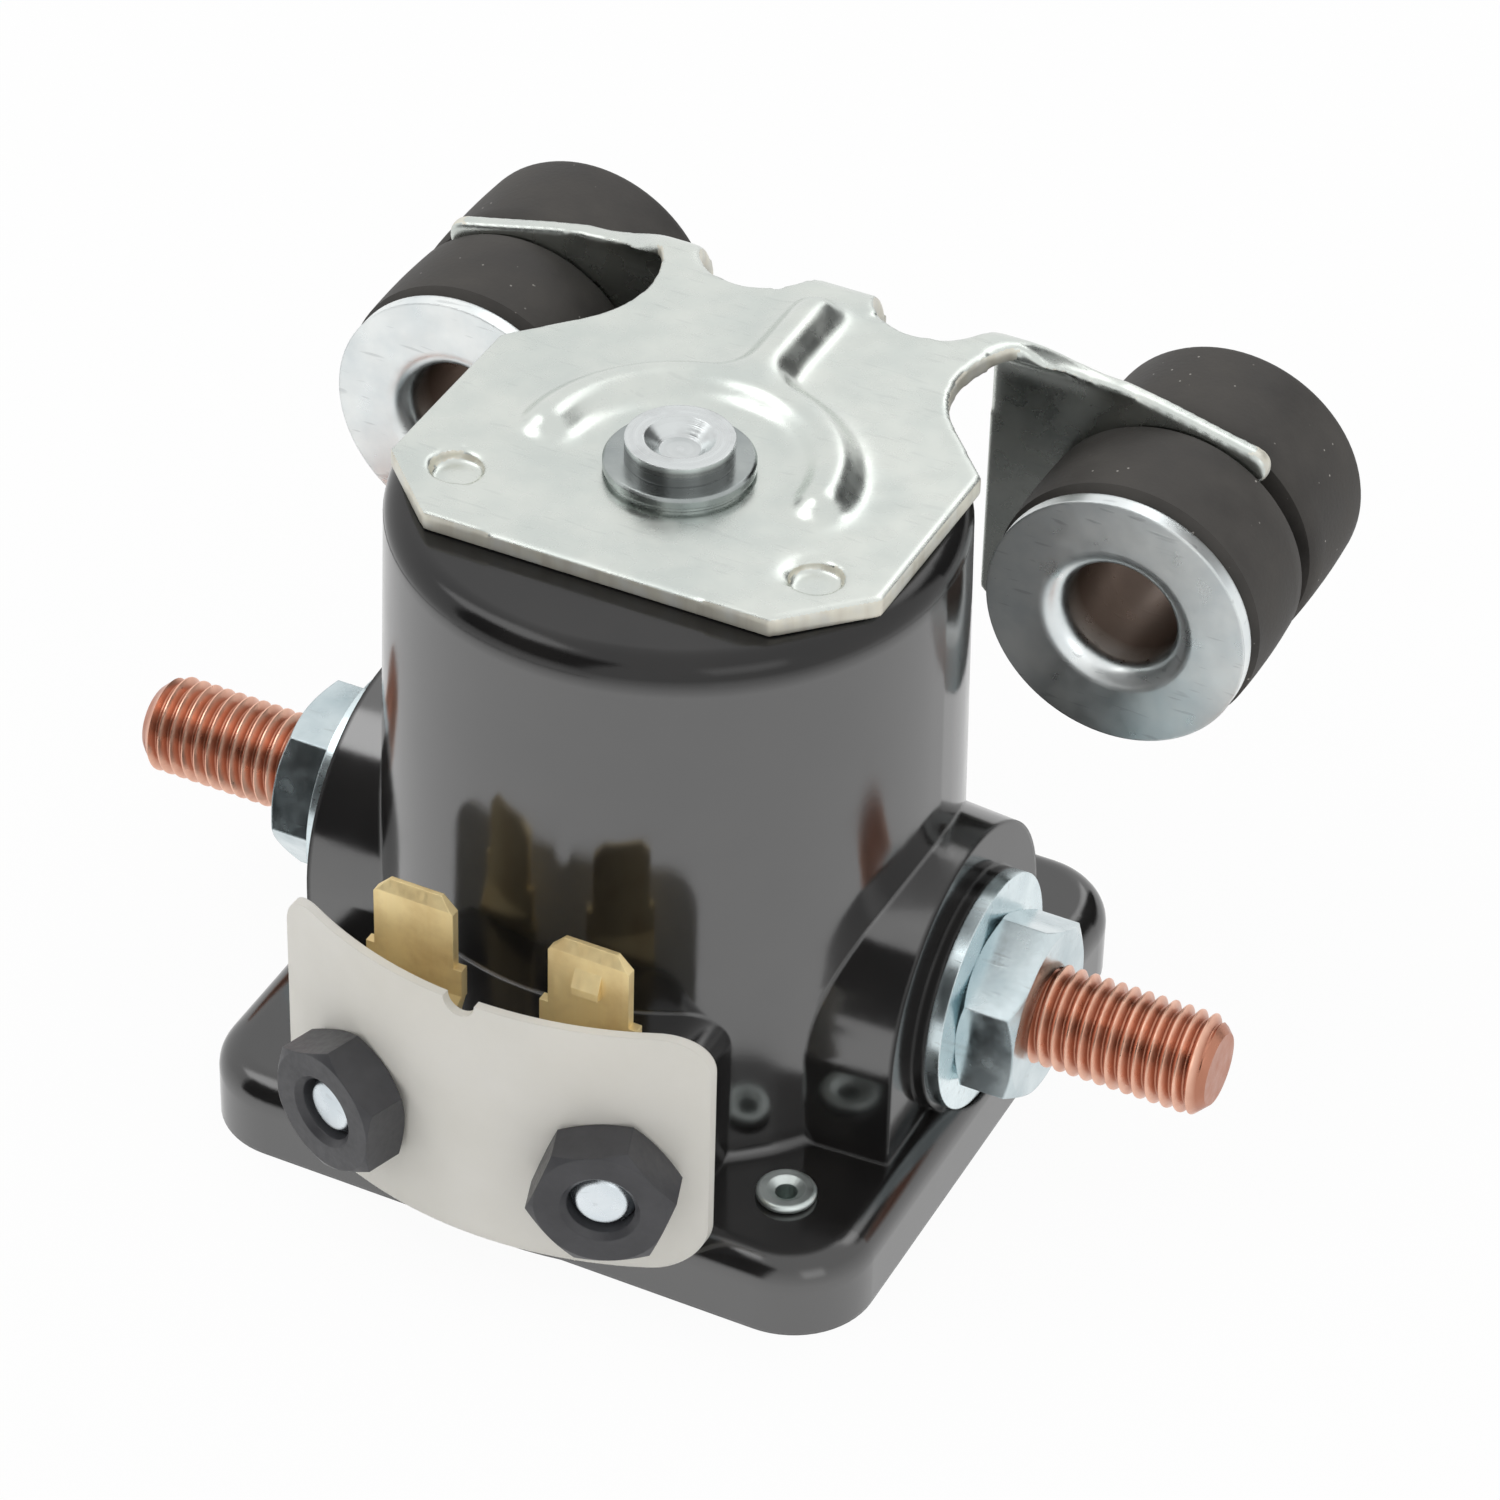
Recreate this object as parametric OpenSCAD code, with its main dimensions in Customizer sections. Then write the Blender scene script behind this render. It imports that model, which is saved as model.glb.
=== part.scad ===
// Glow plug relay: a moulded solenoid housing with side power studs, two blade
// terminals in front and a pressed steel bracket on two rubber isolators.
// Millimetres. Z is the housing axis, X runs along the power studs and Y points
// to the back. The origin is the middle of the underside of the base.

/* [Base] */
// Half width of the square base
base_half = 26.6; // [26:0.1:28]
// Radius of the upright corners of the base
base_corner_r = 6.4; // [5.5:0.1:7.5]
// Thickness of the base
base_t = 6.3; // [6:0.1:7]
// Rounding along the upper edge of the base
base_edge_r = 2.2; // [1:0.1:2.6]
// Wall left round the pocket under the base
skirt_wall = 1.8; // [1.4:0.1:2.2]
// Thickness of the bottom cover
cover_t = 2; // [1.6:0.1:2.2]
// Thickness of the gasket over the cover
gasket_t = 0.4; // [0.3:0.1:0.6]
// Distance of each rivet from the edges of the base
rivet_edge = 7.6; // [7.2:0.1:8]
// Radius of a rivet shank
rivet_r = 1.5; // [1.2:0.1:1.7]
// Radius of the rolled rivet head
rivet_head_r = 2.25; // [2:0.05:2.5]
// Height of the rolled rivet head
rivet_head_h = 0.7; // [0.5:0.05:0.9]

/* [Body] */
// Radius of the body under its top edge
body_top_r = 21; // [20.8:0.1:21.6]
// Radius of the body where it meets the base
body_foot_r = 21.9; // [21.7:0.1:22.3]
// Height of the top of the body
body_top_z = 50.6; // [50:0.1:53]
// Rounding of the top edge of the body
body_edge_r = 1.8; // [1:0.1:2.2]
// Wall of the body round the coil bay, at the top
body_wall = 2.6; // [2.3:0.1:2.7]
// Thickness of the roof of the body
roof_t = 3; // [2.6:0.1:3.4]
// Extra radius of the contact chamber over the coil bay
chamber_step = 0.6; // [0.4:0.1:0.8]
// Height of the ceiling of the contact chamber
chamber_top_z = 19.9; // [19.6:0.1:20.6]
// Radius of the fillet where the body meets the base
foot_fillet_r = 0.8; // [0.5:0.1:1.2]

/* [Terminal Block] */
// Half width of the raised block in front
block_half = 13.4; // [12.8:0.1:14]
// Height of the top of the block
block_top_z = 20; // [19:0.1:21]
// Radius of the upper corners of the block
block_corner_r = 3.2; // [2.4:0.1:4]
// How far the curved front of the block stands past the edge of the base
block_lead = 0.4; // [0.2:0.1:0.8]

/* [Power Studs] */
// Radius of a power stud
stud_r = 3.85; // [3.5:0.05:4]
// Height of the stud axis
stud_z = 13.9; // [13.6:0.1:14.4]
// Length of the thread that stands out of the nut
stud_reach = 13.5; // [12:0.1:16]
// Radius of the stud in the thread of the nut
stud_pitch_r = 3.5; // [3.3:0.05:3.6]
// Chamfer at a stud tip
stud_tip_chamfer = 0.8; // [0.4:0.1:1.2]
// Thickness of the flat head inside the housing
stud_head_t = 4.8; // [4:0.1:5]
// Width of the flat head
stud_head_w = 12; // [11:0.1:12.6]
// Height of the flat head
stud_head_h = 7.8; // [7.8:0.1:8.2]
// Depth of the head seat in the wall of the contact chamber
stud_seat_depth = 0.4; // [0.3:0.1:0.6]
// Radius of the arched boss round a stud, at its face
boss_r = 12.7; // [12:0.1:13]
// Growth of the boss radius from its face to the middle of the body
boss_draft = 1.4; // [0.8:0.1:1.6]
// Distance of the boss face behind the edge of the base
boss_setback = 2.5; // [2.2:0.1:2.8]
// Radius of the raised round pad on the boss
boss_pad_r = 9.3; // [9:0.1:9.6]
// Height of the raised round pad
boss_pad_h = 1; // [0.8:0.1:1.2]
// Radius of the flat washer
washer_r = 9.1; // [8.8:0.1:9.2]
// Thickness of the flat washer
washer_t = 1.1; // [0.9:0.1:1.3]
// Bore radius of the flat washer
washer_bore_r = 4.3; // [4.2:0.05:4.5]
// Height at which the washers are clamped over the stud axis
washer_lift = 0.3; // [0:0.1:0.4]
// Width across flats of the steel nut
nut_af = 12.7; // [12:0.1:13.5]
// Thickness of the steel nut
nut_t = 4.6; // [4:0.1:6]
// Turn of the left nut after tightening, the right one has a corner on top
left_nut_turn = 26; // [0:1:59]

/* [Control Terminals] */
// Angle of each control stud from straight ahead
control_angle = 18.6; // [17.5:0.1:20]
// Height of the control studs
control_z = 13; // [12.6:0.1:13.6]
// Radius of a control stud
control_r = 2.4; // [2.2:0.05:2.5]
// Depth of the end of a control stud in its nylon nut
control_end_sink = 0.75; // [0.5:0.05:1]
// Radius of the round head inside the housing
control_head_r = 3.6; // [3.2:0.1:3.8]
// Thickness of that head
control_head_t = 1.5; // [1.2:0.1:1.8]
// Width across flats of the terminal nuts
control_nut_af = 9.5; // [9:0.1:10]
// Thickness of the steel terminal nut
terminal_nut_t = 2.2; // [1.8:0.1:2.3]
// Thickness of the nylon nut
nylon_nut_t = 3.7; // [3.4:0.1:3.9]
// Radius of the countersink of the nylon nut
nylon_sink_r = 2.9; // [2.7:0.1:3.2]
// Turn of the left and the right nylon nut
nylon_nut_turns = [26, 10];

/* [Blades] */
// Width of a blade tab
blade_w = 6.35; // [6:0.05:6.6]
// Thickness of a blade
blade_t = 0.8; // [0.6:0.05:0.9]
// Height of a blade tab above its shoulders
blade_tab_h = 5.9; // [5:0.1:8]
// Width of a blade below its shoulders
blade_foot_w = 7.7; // [7.2:0.1:8.2]
// Height of the shoulders
blade_shoulder_z = 24.6; // [24:0.1:26]
// Distance of a tab from the centre plane
blade_x = 6.95; // [6.6:0.05:7.4]
// Cut at the upper corners of a tab
blade_corner = 1.1; // [0.8:0.1:1.6]
// Radius of the ring of the foot
blade_ring_r = 4.3; // [4:0.1:4.6]
// Height of the bevel along the tip
blade_bevel_h = 0.9; // [0.6:0.1:1.4]
// Depth of the bevel along the tip
blade_bevel_d = 0.45; // [0.3:0.05:0.5]

/* [Insulator Sheet] */
// Gap between the terminal nuts and the curved sheet
sheet_gap = 0.6; // [0.5:0.05:0.8]
// Thickness of the sheet
sheet_t = 0.7; // [0.5:0.1:0.9]
// Half of the angle that the sheet covers
sheet_angle = 33.6; // [30:0.1:35]
// Turn of the middle of the sheet to the left
sheet_turn = 1.9; // [0:0.1:3]
// Height of the lower edge of the sheet
sheet_low_z = 4.4; // [3:0.1:5]
// Height of the upper edge of the sheet
sheet_top_z = 25.9; // [25:0.1:27]
// Radius of the corners of the sheet
sheet_corner_r = 3.6; // [2.5:0.1:4.5]
// Radius of the notch in the upper edge
sheet_notch_r = 1.25; // [1:0.05:1.6]

/* [Bracket] */
// Thickness of the bracket steel
steel_t = 1.6; // [1.4:0.1:1.8]
// Half length of the front edge of the bracket
plate_front_half = 13.9; // [13:0.1:15]
// Distance of the front edge from the centre
plate_front_y = 12.8; // [12:0.1:13.5]
// Half width of the bracket plate
plate_half = 19.3; // [18.5:0.1:20]
// Distance in front of the centre where the side edges start
plate_side_front_y = 7.4; // [6.5:0.1:8.5]
// Distance behind the centre where the side edges end
plate_side_rear_y = 9.2; // [8:0.1:10]
// Radius of the hollow at each side of the neck
neck_r = 9; // [8.6:0.1:9.4]
// Distance of the centre of that hollow from the centre plane
neck_x = 21.7; // [21.4:0.1:22]
// Distance of that centre in front of the bend
neck_setback = 5.15; // [4.9:0.05:5.4]
// Distance of the rear face of the ears from the centre
ear_rear_y = 29.35; // [29:0.05:29.6]
// Inner radius of the bend
bend_r = 2.6; // [2.2:0.1:3]
// Distance of an ear tip from the centre plane
ear_tip_x = 34; // [33:0.1:35]
// Distance of the shoulder of an ear from the centre plane
ear_shoulder_x = 22.5; // [22:0.1:23]
// Depth of that shoulder under the top of the plate
ear_shoulder_drop = 2.7; // [2.4:0.1:3]
// Radius of the hollow that leads to the shoulder
ear_hollow_r = 12.6; // [12.2:0.1:13]
// Depth of the lower edge of the ears under the isolator axis
ear_depth = 10.5; // [10:0.1:11]
// Rounding at the prong tips
prong_tip_r = 1.4; // [1.2:0.1:1.6]
// Distance of the relief notches from the centre plane
notch_x = 7.1; // [6.8:0.1:7.4]
// Radius of a relief notch
notch_r = 3.2; // [2.8:0.1:3.4]
// Distance of the centre of a notch behind the start of the bend
notch_setback = 1.35; // [1.2:0.05:1.6]
// Length of the straight part of the tab between the notches
tab_drop = 1.6; // [1:0.1:3]
// Distance of the locating dimples from the centre plane
dimple_x = 14.1; // [13.6:0.1:14.4]
// Distance of the locating dimples in front of the centre
dimple_y = 7; // [6.6:0.1:7.4]
// Radius of a locating dimple
dimple_r = 1.95; // [1.7:0.05:2.1]
// Depth of a locating dimple
dimple_h = 0.9; // [0.7:0.1:1.1]
// Middle radius of the curved rib
rib_arc_r = 10.85; // [10.4:0.05:11.2]
// Width of the pressed rib at its foot
rib_w = 4.4; // [4:0.1:4.8]
// Width of the flat on top of the rib
rib_top_w = 1.7; // [1.4:0.1:2]
// Height of the pressed rib
rib_h = 1.1; // [0.9:0.1:1.3]
// Half of the angle that the curved rib covers
rib_half_angle = 88; // [80:1:95]
// Distance of the end of the straight rib in front of the bend
rib_end_gap = 1; // [0.8:0.1:1.6]
// Radius of the fillets where the straight rib meets the curved one
rib_fillet_r = 2.4; // [2:0.1:3]

/* [Isolators] */
// Distance of each isolator axis from the centre plane
isolator_x = 27.2; // [27:0.1:27.6]
// Depth of the isolator axes under the top of the plate
isolator_drop = 15.1; // [14.8:0.1:15.4]
// Length of an isolator and its flange in front of the rear face of the ears
isolator_front_l = 12.55; // [12.2:0.05:13]
// Length of an isolator behind the ears
isolator_rear_l = 10.25; // [9.8:0.05:11]
// Radius of a rubber bead
bead_r = 10.6; // [10.4:0.1:10.9]
// Radius of the groove between the beads
groove_r = 7; // [6.8:0.05:7.2]
// Chamfer of the rubber behind the sleeve flange
bead_chamfer = 1.1; // [0.6:0.1:1.6]
// Rounding at the rear edge of the rubber
bead_edge_r = 0.9; // [0.5:0.1:1.4]
// Radius of the sleeve flange
flange_r = 10.25; // [9.8:0.05:10.35]
// Thickness of the sleeve flange
flange_t = 1.2; // [1:0.1:1.5]
// Bore radius of the sleeve
sleeve_bore_r = 4.4; // [4.2:0.05:4.6]
// Wall of the sleeve
sleeve_wall = 1.2; // [1:0.05:1.3]
// Rounding where the flange rolls into the bore
sleeve_roll_r = 1.7; // [1.2:0.05:1.9]
// Depth of the plain sleeve end in the rubber
sleeve_recess = 0.4; // [0.3:0.1:0.8]

/* [Pole Core] */
// Radius of the pole and of the plunger
plunger_r = 5.65; // [5.4:0.05:5.8]
// Radius of the neck of the pole
neck_pin_r = 3.4; // [3.2:0.05:3.5]
// Radius of the formed head of the pole
post_r = 3.97; // [3.9:0.01:4.2]
// Height of the formed head
post_h = 1.6; // [1.3:0.1:1.9]
// Radius of the washer under the formed head
core_washer_r = 5.5; // [5.2:0.1:5.8]
// Thickness of that washer
core_washer_t = 1.15; // [1:0.05:1.4]
// Upper radius of the conical recess
recess_r = 2.6; // [2.4:0.05:2.8]
// Lower radius of the conical recess
recess_floor_r = 1.48; // [1.3:0.02:1.6]
// Depth of the conical recess
recess_h = 1.05; // [0.9:0.05:1.2]

/* [Coil] */
// Wall of the steel can round the coil
can_wall = 1; // [0.8:0.1:1.1]
// Thickness of the flux plate under the bobbin
flux_plate_t = 1.6; // [1.4:0.1:1.8]
// Thickness of the bobbin flanges
bobbin_flange_t = 1.2; // [1:0.1:1.4]
// Wall of the bobbin tube
bobbin_wall = 1.25; // [1:0.05:1.4]
// Depth of the winding space left empty at the rim
winding_margin = 1.2; // [0.8:0.1:1.6]
// Number of wire turns that show along the winding
winding_turns = 22; // [16:1:24]
// Radius of a coil lead
lead_r = 0.45; // [0.35:0.05:0.5]

/* [Moving Contact] */
// Stroke of the plunger
plunger_stroke = 2.5; // [2.3:0.1:2.7]
// Height of the lower face of the pole
pole_face_z = 34; // [33:0.1:35]
// Length of the plunger
plunger_l = 12.2; // [11.5:0.1:12.8]
// Gap between the contact disc and the stud heads at rest
contact_gap = 2; // [1.8:0.05:2.1]
// Gap between the contact disc and the wall of the chamber
disc_edge_gap = 1.6; // [1.5:0.1:2.4]
// Thickness of the contact disc
disc_t = 1.6; // [1.4:0.1:1.8]
// Radius of the plunger rod
rod_r = 1.6; // [1.4:0.05:1.8]
// Radius of the collar of the rod
collar_r = 2.7; // [2.5:0.05:2.9]
// Radius of the flanges of the disc bushes
bush_r = 4.5; // [4.2:0.1:5]
// Thickness of the flanges of the disc bushes
bush_t = 0.9; // [0.7:0.1:1]
// Free height of the over-travel spring
overtravel_h = 2.2; // [2:0.1:2.3]
// Wire radius of the over-travel spring
overtravel_wire_r = 0.22; // [0.18:0.01:0.24]
// Radius of the spring clip on the rod end
clip_r = 3.1; // [2.8:0.1:3.4]
// Thickness of the spring clip
clip_t = 0.5; // [0.4:0.05:0.6]
// Wire radius of the return spring
return_wire_r = 0.3; // [0.25:0.01:0.35]
// Middle radius of the return spring
return_spring_r = 2.7; // [2.5:0.05:2.8]
// Depth of the spring pocket in the plunger
plunger_pocket_h = 6; // [5.5:0.1:7]

/* [Clearances] */
// Radial clearance of the plunger in the bobbin
slide_clearance = 0.08; // [0.06:0.01:0.1]
// Radial clearance of parts that pass through a hole
pass_clearance = 0.1; // [0.08:0.01:0.15]
// Side clearance of pieces that drop into a pocket
pocket_clearance = 0.15; // [0.1:0.01:0.2]
// Gap under the plunger rod at rest
rest_gap = 0.3; // [0.25:0.01:0.4]
// Gap that is left between closed parts at the end of the stroke
stop_gap = 0.05; // [0.03:0.01:0.08]

/* [Hidden] */

$fn = 96;
// Facets of hexagons
hex_fn = 6;
// Half angle of a hexagon side
hex_half_angle = 30;
// Turns of the springs, rings a turn and sides of a wire
return_turns = 6;
overtravel_turns = 2;
curl_rings = 16;
wire_sides = 8;
// Overrun of every cut past the faces that it opens
overrun = 0.5;

// Base and covers
pocket_h = cover_t + gasket_t;
pocket_half = base_half - skirt_wall;
pocket_corner_r = base_corner_r - skirt_wall;
cover_half = pocket_half - pocket_clearance;
cover_corner_r = pocket_corner_r - pocket_clearance;
rivet_x = base_half - rivet_edge;
rivet_sink_h = rivet_head_h + stop_gap;
rivet_bore_share = 0.55;
rivet_bore_r = rivet_bore_share * rivet_r;
rivet_bore_h = rivet_bore_share * base_t;

// Body
function body_r(z) =
    body_foot_r + (body_top_r - body_foot_r) * (z - base_t) / (body_top_z - base_t);
bay_r = body_top_r - body_wall;
bay_top_z = body_top_z - roof_t;
chamber_r = bay_r + chamber_step;
disc_r = chamber_r - disc_edge_gap;
stud_seat_x = chamber_r + stud_seat_depth;
block_front_r = base_half + block_lead;
boss_face_x = base_half - boss_setback;
seat_z = stud_z - stud_head_h / 2;

// Magnet
can_r = bay_r - 2 * pass_clearance;
can_inner_r = can_r - can_wall;
can_low_z = chamber_top_z;
flux_plate_r = can_inner_r - stop_gap;
bobbin_low_z = can_low_z + flux_plate_t;
bobbin_top_z = bay_top_z - can_wall;
bobbin_bore_r = plunger_r + slide_clearance;
bobbin_tube_r = bobbin_bore_r + bobbin_wall;
bobbin_flange_r = can_inner_r - pocket_clearance;
winding_low_z = bobbin_low_z + bobbin_flange_t;
winding_top_z = bobbin_top_z - bobbin_flange_t;
winding_r = bobbin_flange_r - winding_margin;
lead_share = 0.86;
lead_x_share = 0.3;
lead_x = lead_x_share * bobbin_flange_r;
lead_y = lead_share * sqrt(pow(bobbin_flange_r, 2) - pow(lead_x, 2));
lead_hole_r = lead_r + pocket_clearance;

// Moving parts at rest
plunger_top_z = pole_face_z - plunger_stroke - stop_gap;
plunger_low_z = plunger_top_z - plunger_l;
disc_top_z = seat_z - contact_gap;
disc_low_z = disc_top_z - disc_t;
collar_low_z = disc_top_z + bush_t;
clip_top_z = disc_low_z - bush_t - overtravel_h;
rod_low_z = cover_t + rest_gap;
bush_hub_r = (rod_r + bush_r) / 2;
rod_seat_h = plunger_pocket_h / 2;

// Bracket
plate_low_z = body_top_z;
plate_top_z = plate_low_z + steel_t;
bend_out_r = bend_r + steel_t;
bend_y = ear_rear_y - bend_out_r;
bend_z = plate_top_z - bend_out_r;
ear_front_y = ear_rear_y - steel_t;
ear_split_y = bend_y + steel_t / 3;
ear_shoulder_z = plate_top_z - ear_shoulder_drop;
neck_y = bend_y - neck_setback;
neck_foot_share = cos(45);
neck_foot_x = neck_x - neck_foot_share * neck_r;
neck_foot_y = neck_y - neck_foot_share * neck_r;
notch_y = bend_y + notch_setback;
ear_inner_x = notch_x + notch_r;
tab_half = notch_x - notch_r;
isolator_z = plate_top_z - isolator_drop;
ear_low_z = isolator_z - ear_depth;
slot_r = groove_r + pocket_clearance;
groove_low_y = ear_front_y - pocket_clearance;
groove_top_y = ear_rear_y + pocket_clearance;
rib_sink = steel_t / 2;
rib_run = (rib_w - rib_top_w) / 2;
rib_out_r = rib_arc_r + rib_w / 2;
rib_end_y = bend_y - rib_end_gap - rib_w / 2;
rib_fillet_x = rib_w / 2 + rib_fillet_r;
rib_fillet_y = sqrt(pow(rib_out_r + rib_fillet_r, 2) - pow(rib_fillet_x, 2));

// Stacks along the studs
pad_x = boss_face_x + boss_pad_h;
washer_out_x = pad_x + washer_t;
nut_out_x = washer_out_x + nut_t;
stud_thread_x = nut_out_x + rest_gap;
stud_tip_x = nut_out_x + stud_reach;
foot_r_in = block_front_r + stop_gap;
foot_r_out = foot_r_in + blade_t;
sheet_r = foot_r_out + terminal_nut_t + sheet_gap + sheet_t;
nylon_nut_in_r = sheet_r + stop_gap;
control_end_r = nylon_nut_in_r + nylon_nut_t - control_end_sink;
control_seat_r = chamber_r + control_head_t / 3;
blade_back_y = (foot_r_out - blade_x * sin(control_angle)) / cos(control_angle) - blade_t;
blade_shift = blade_x * cos(control_angle)
    - (blade_back_y + blade_t / 2) * sin(control_angle);
foot_top_z = block_top_z + blade_t / 2;
blade_low_z = foot_top_z + 2 * blade_t;
sheet_half_x = sheet_r * sin(sheet_angle);
sheet_inner_half_x = sheet_half_x - sheet_corner_r;
sheet_inner_half_z = (sheet_top_z - sheet_low_z) / 2 - sheet_corner_r;

// Isolators
isolator_front_y = ear_rear_y - isolator_front_l;
isolator_rear_y = ear_rear_y + isolator_rear_l;
rubber_low_y = isolator_front_y + flange_t;
sleeve_r = sleeve_bore_r + sleeve_wall;

zinc = "#c6cccf";
steel = "#b9bdc0";
phenolic = "#242222";
copper = "#c27a56";
brass = "#d8b25a";
rubber = "#3b3735";
nylon_white = "#e6e2da";
nylon_black = "#303033";

// Rounded square in plan
module rounded_square(half, corner) {
    square([2 * half, 2 * (half - corner)], center = true);
    square([2 * (half - corner), 2 * half], center = true);
    for (sx = [-1, 1], sy = [-1, 1]) {
        translate([sx * (half - corner), sy * (half - corner)])
            circle(corner);
    }
}

// Upright section of a slab with rounded upper edges
module slab_section(half, height, edge) {
    translate([-half, 0])
        square([2 * half, height - edge]);
    translate([edge - half, 0])
        square([2 * (half - edge), height]);
    for (side = [-1, 1]) {
        translate([side * (half - edge), height - edge])
            circle(edge);
    }
}

// Square slab with round corners and a rounded upper edge
module rounded_slab(half, corner, height, edge) {
    for (turn = [0, 90]) {
        rotate([90, 0, turn])
            linear_extrude(2 * (half - corner), center = true)
                slab_section(half, height, edge);
    }
    for (sx = [-1, 1], sy = [-1, 1]) {
        translate([sx * (half - corner), sy * (half - corner)])
            rotate_extrude()
                intersection() {
                    slab_section(corner, height, edge);
                    square([corner, height]);
                }
    }
}

// Flat ring along Z
module ring(outer, inner, height) {
    difference() {
        cylinder(r = outer, h = height);
        translate([0, 0, -overrun])
            cylinder(r = inner, h = height + 2 * overrun);
    }
}

// Hexagon nut along Z, chamfered on both faces
module hex_nut(af, height, bore) {
    corner = af / 2 / cos(hex_half_angle);
    drop = (corner - af / 2) * tan(hex_half_angle);
    difference() {
        intersection() {
            cylinder(r = corner, h = height, $fn = hex_fn);
            rotate_extrude()
                polygon([
                    [0, 0], [af / 2, 0], [corner, drop],
                    [corner, height - drop], [af / 2, height], [0, height]
                ]);
        }
        translate([0, 0, -overrun])
            cylinder(r = bore, h = height + 2 * overrun);
    }
}

// Turns +Z of the children outwards along a power stud, side is 1 or -1
module along_stud(side) {
    translate([0, 0, stud_z])
        rotate([0, side * 90, 0])
            children();
}

// Turns +Z of the children outwards along a control stud
module along_control(side) {
    translate([0, 0, control_z])
        rotate([90, 0, side * control_angle])
            children();
}

// Turns +Z of the children to the back along an isolator axis
module along_isolator(side) {
    translate([side * isolator_x, 0, isolator_z])
        rotate([-90, 0, 0])
            children();
}

// Round tube along a list of points
function unit(v) = v / norm(v);
function heading(path, i) =
    unit(path[min(i + 1, len(path) - 1)] - path[max(i - 1, 0)]);
function tube_ring(centre, ahead, across, r, sides) =
    let (u = unit(cross(ahead, across)), v = cross(ahead, u))
    [for (k = [0 : sides - 1])
        centre + r * (cos(360 * k / sides) * u + sin(360 * k / sides) * v)];
module tube(path, r, sides, across) {
    last = len(path) - 1;
    points = [for (i = [0 : last])
        each tube_ring(path[i], heading(path, i), across, r, sides)];
    walls = [for (i = [0 : last - 1], k = [0 : sides - 1])
        let (a = i * sides + k, b = i * sides + (k + 1) % sides)
        each [[a, a + sides, b + sides], [a, b + sides, b]]];
    first_cap = [[for (k = [0 : sides - 1]) k]];
    last_cap = [[for (k = [sides - 1 : -1 : 0]) last * sides + k]];
    polyhedron(points, concat(walls, first_cap, last_cap));
}

// Points of a helix with a given pitch between its end heights
function helix(r, low, high, turns, steps) =
    [for (i = [0 : turns * steps])
        [r * cos(360 * i / steps), r * sin(360 * i / steps),
         low + (high - low) * i / (turns * steps)]];

// Housing
module body_section() {
    polygon([
        [0, 0], [body_foot_r, 0], [body_foot_r, base_t],
        [body_r(body_top_z - body_edge_r), body_top_z - body_edge_r],
        [body_top_r - body_edge_r, body_top_z], [0, body_top_z]
    ]);
    difference() {
        translate([body_r(base_t + foot_fillet_r) - stop_gap, base_t - stop_gap])
            square(foot_fillet_r + stop_gap);
        translate([body_r(base_t + foot_fillet_r) + foot_fillet_r, base_t + foot_fillet_r])
            circle(foot_fillet_r);
    }
    translate([body_top_r - body_edge_r, body_top_z - body_edge_r])
        circle(body_edge_r);
}

module stud_boss(side) {
    along_stud(side) {
        cylinder(r1 = boss_r + boss_draft, r2 = boss_r, h = boss_face_x);
        cylinder(r = boss_pad_r, h = pad_x);
    }
    linear_extrude(stud_z)
        polygon([
            [0, -boss_r - boss_draft], [side * boss_face_x, -boss_r],
            [side * boss_face_x, boss_r], [0, boss_r + boss_draft]
        ]);
}

module terminal_block() {
    intersection() {
        cylinder(r = block_front_r, h = block_top_z);
        rotate([90, 0, 0])
            linear_extrude(block_front_r) {
                translate([-block_half, 0])
                    square([2 * block_half, block_top_z - block_corner_r]);
                translate([block_corner_r - block_half, 0])
                    square([2 * (block_half - block_corner_r), block_top_z]);
                for (side = [-1, 1]) {
                    translate([side * (block_half - block_corner_r), block_top_z - block_corner_r])
                        circle(block_corner_r);
                }
            }
    }
}

module rivet_places() {
    for (sx = [-1, 1], sy = [-1, 1]) {
        translate([sx * rivet_x, sy * rivet_x, 0])
            children();
    }
}

module housing_cuts() {
    translate([0, 0, -overrun])
        linear_extrude(pocket_h + overrun)
            rounded_square(pocket_half, pocket_corner_r);
    cylinder(r = chamber_r, h = chamber_top_z);
    cylinder(r = bay_r, h = bay_top_z);
    cylinder(r = neck_pin_r + pass_clearance, h = body_top_z + overrun);
    for (side = [-1, 1]) {
        along_stud(side) {
            cylinder(r = stud_r + pass_clearance, h = pad_x + overrun);
            translate([-stud_head_h / 2 - pocket_clearance, -stud_head_w / 2 - pocket_clearance, 0])
                cube([stud_head_h + 2 * pocket_clearance, stud_head_w + 2 * pocket_clearance, stud_seat_x]);
        }
        translate([0, 0, washer_lift])
            along_stud(side)
                translate([0, 0, pad_x])
                    cylinder(r = washer_r + rest_gap, h = base_half - pad_x + overrun);
        along_control(side) {
            cylinder(r = control_r + pass_clearance, h = block_front_r + overrun);
            cylinder(r = control_head_r + pocket_clearance, h = control_seat_r);
        }
        translate([side * dimple_x, -dimple_y, body_top_z - dimple_h])
            cylinder(r = dimple_r + pass_clearance, h = dimple_h + overrun);
    }
    rivet_places()
        cylinder(r = rivet_r + pass_clearance, h = base_t + overrun);
}

module housing() {
    color(phenolic)
        difference() {
            union() {
                rounded_slab(base_half, base_corner_r, base_t, base_edge_r);
                rotate_extrude()
                    body_section();
                stud_boss(-1);
                stud_boss(1);
                terminal_block();
            }
            housing_cuts();
        }
}

module bottom_cover() {
    color(phenolic)
        difference() {
            linear_extrude(cover_t)
                rounded_square(cover_half, cover_corner_r);
            rivet_places()
                translate([0, 0, -overrun]) {
                    cylinder(r = rivet_r + pass_clearance, h = cover_t + 2 * overrun);
                    cylinder(r = rivet_head_r + pass_clearance, h = rivet_sink_h + overrun);
                }
        }
}

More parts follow.
